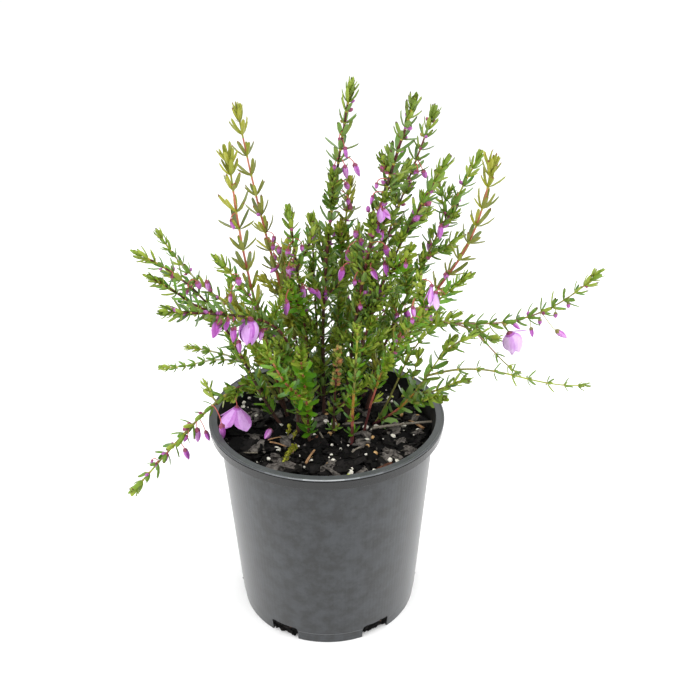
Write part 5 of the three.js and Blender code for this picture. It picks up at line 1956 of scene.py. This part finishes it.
def add_hanging_bud(blossom, limb, distance, random):
    point, way, lift = limb["branch"].frame(distance)
    outward = unit(limb["branch"].out(lift, random.uniform(0, 2 * math.pi)) + 0.3 * UP)
    base = point + random.uniform(*HANGING_REACH) * outward
    direction = unit(outward + random.uniform(*HANGING_DROP) * DOWN)
    length = random.uniform(*HANGING_LENGTH)
    add_stalk(blossom, point, base, direction, "stalk_red")
    add_bud(blossom, base, direction, length, BUD_WIDTH * length, random)


axil_buds = Joined("axil_buds", list(BLOSSOM_TONES.values()))
axil_random = np.random.default_rng(AXIL_SEED)
for limb in plant:
    start, end = AXIL_RANGES.get(limb["shoot"], (1, 1))
    for distance in limb["nodes"]:
        share = distance / limb["branch"].length
        if limb["kind"] == "main" and start < share < end:
            for chance in range(AXIL_CHANCES):
                if axil_random.random() < AXIL_SHARE:
                    add_axil_bud(axil_buds, limb, distance, AXIL_TONES, axil_random)
            if limb["shoot"] in BACK_BUD_SHOOTS and axil_random.random() < BACK_BUD_SHARE:
                add_hanging_bud(axil_buds, limb, distance, axil_random)
spike = next(limb for limb in plant if limb["shoot"] == "front_bud_spike" and limb["kind"] == "main")
for distance in np.arange(SPIKE_RANGE[0], SPIKE_RANGE[1], SPIKE_STEP) * spike["branch"].length:
    for bud in range(SPIKE_RING):
        distance += axil_random.uniform(-0.8, 0.8)
        add_axil_bud(axil_buds, spike, distance, SPIKE_TONES, axil_random, SPIKE_ROUNDNESS, SPIKE_REACHES)
axil_buds.make("green_foliage", crease=50)

# %% [markdown]
# Dead twigs and straws
# A long weathered twig lies across the mix on the right, with a few straws and dry flower stalks. They are thin
# rods with a slight bend, laid where the photograph shows them.

# %% Dead twigs and straws
LITTER = [
    {"from": (372.5, 428.0), "to": (432.0, 421.5), "lift": 4.5, "radius": 0.9, "tone": STRAW},
    {"from": (306.0, 463.0), "to": (314.5, 450.0), "lift": 4.5, "radius": 0.8, "tone": SLIVER},
    {"from": (270.0, 442.0), "to": (286.0, 446.5), "lift": 4.5, "radius": 0.5, "tone": SLIVER},
    {"from": (268.0, 440.0), "to": (283.0, 437.0), "lift": 4.0, "radius": 0.4, "tone": SLIVER},
    {"from": (329.4, 409.0), "to": (338.5, 426.4), "lift": 4.5, "radius": 0.45, "tone": SLIVER},
    {"from": (324.0, 396.0), "to": (315.0, 381.0), "lift": 5.0, "radius": 0.45, "tone": SLIVER},
    {"from": (352.0, 452.0), "to": (361.0, 447.0), "lift": 4.0, "radius": 0.6, "tone": STRAW},
    {"from": (243.0, 417.0), "to": (252.0, 412.0), "lift": 4.0, "radius": 0.6, "tone": STRAW},
]
LITTER_SIDES = 6
LITTER_STEPS = 7
litter_pieces = Joined("dead_twigs_and_straws", MIX_FINISHES)
for straw in LITTER:
    start = point_on_level(straw["from"], MIX_TOP + straw["lift"])
    end = point_on_level(straw["to"], MIX_TOP + straw["lift"] + 0.4)
    share = np.linspace(0, 1, LITTER_STEPS)[:, None]
    points = start + share * (end - start) + np.sin(math.pi * share) * 0.5 * UP
    radii = straw["radius"] * (1 - 0.35 * share[:, 0]) * (1 + 0.1 * np.sin(9 * share[:, 0]))
    vertices, faces = tube(points, radii, LITTER_SIDES)
    litter_pieces.add(vertices, faces, [straw["tone"]] * len(faces))
litter_pieces.make("potting_mix", crease=40)
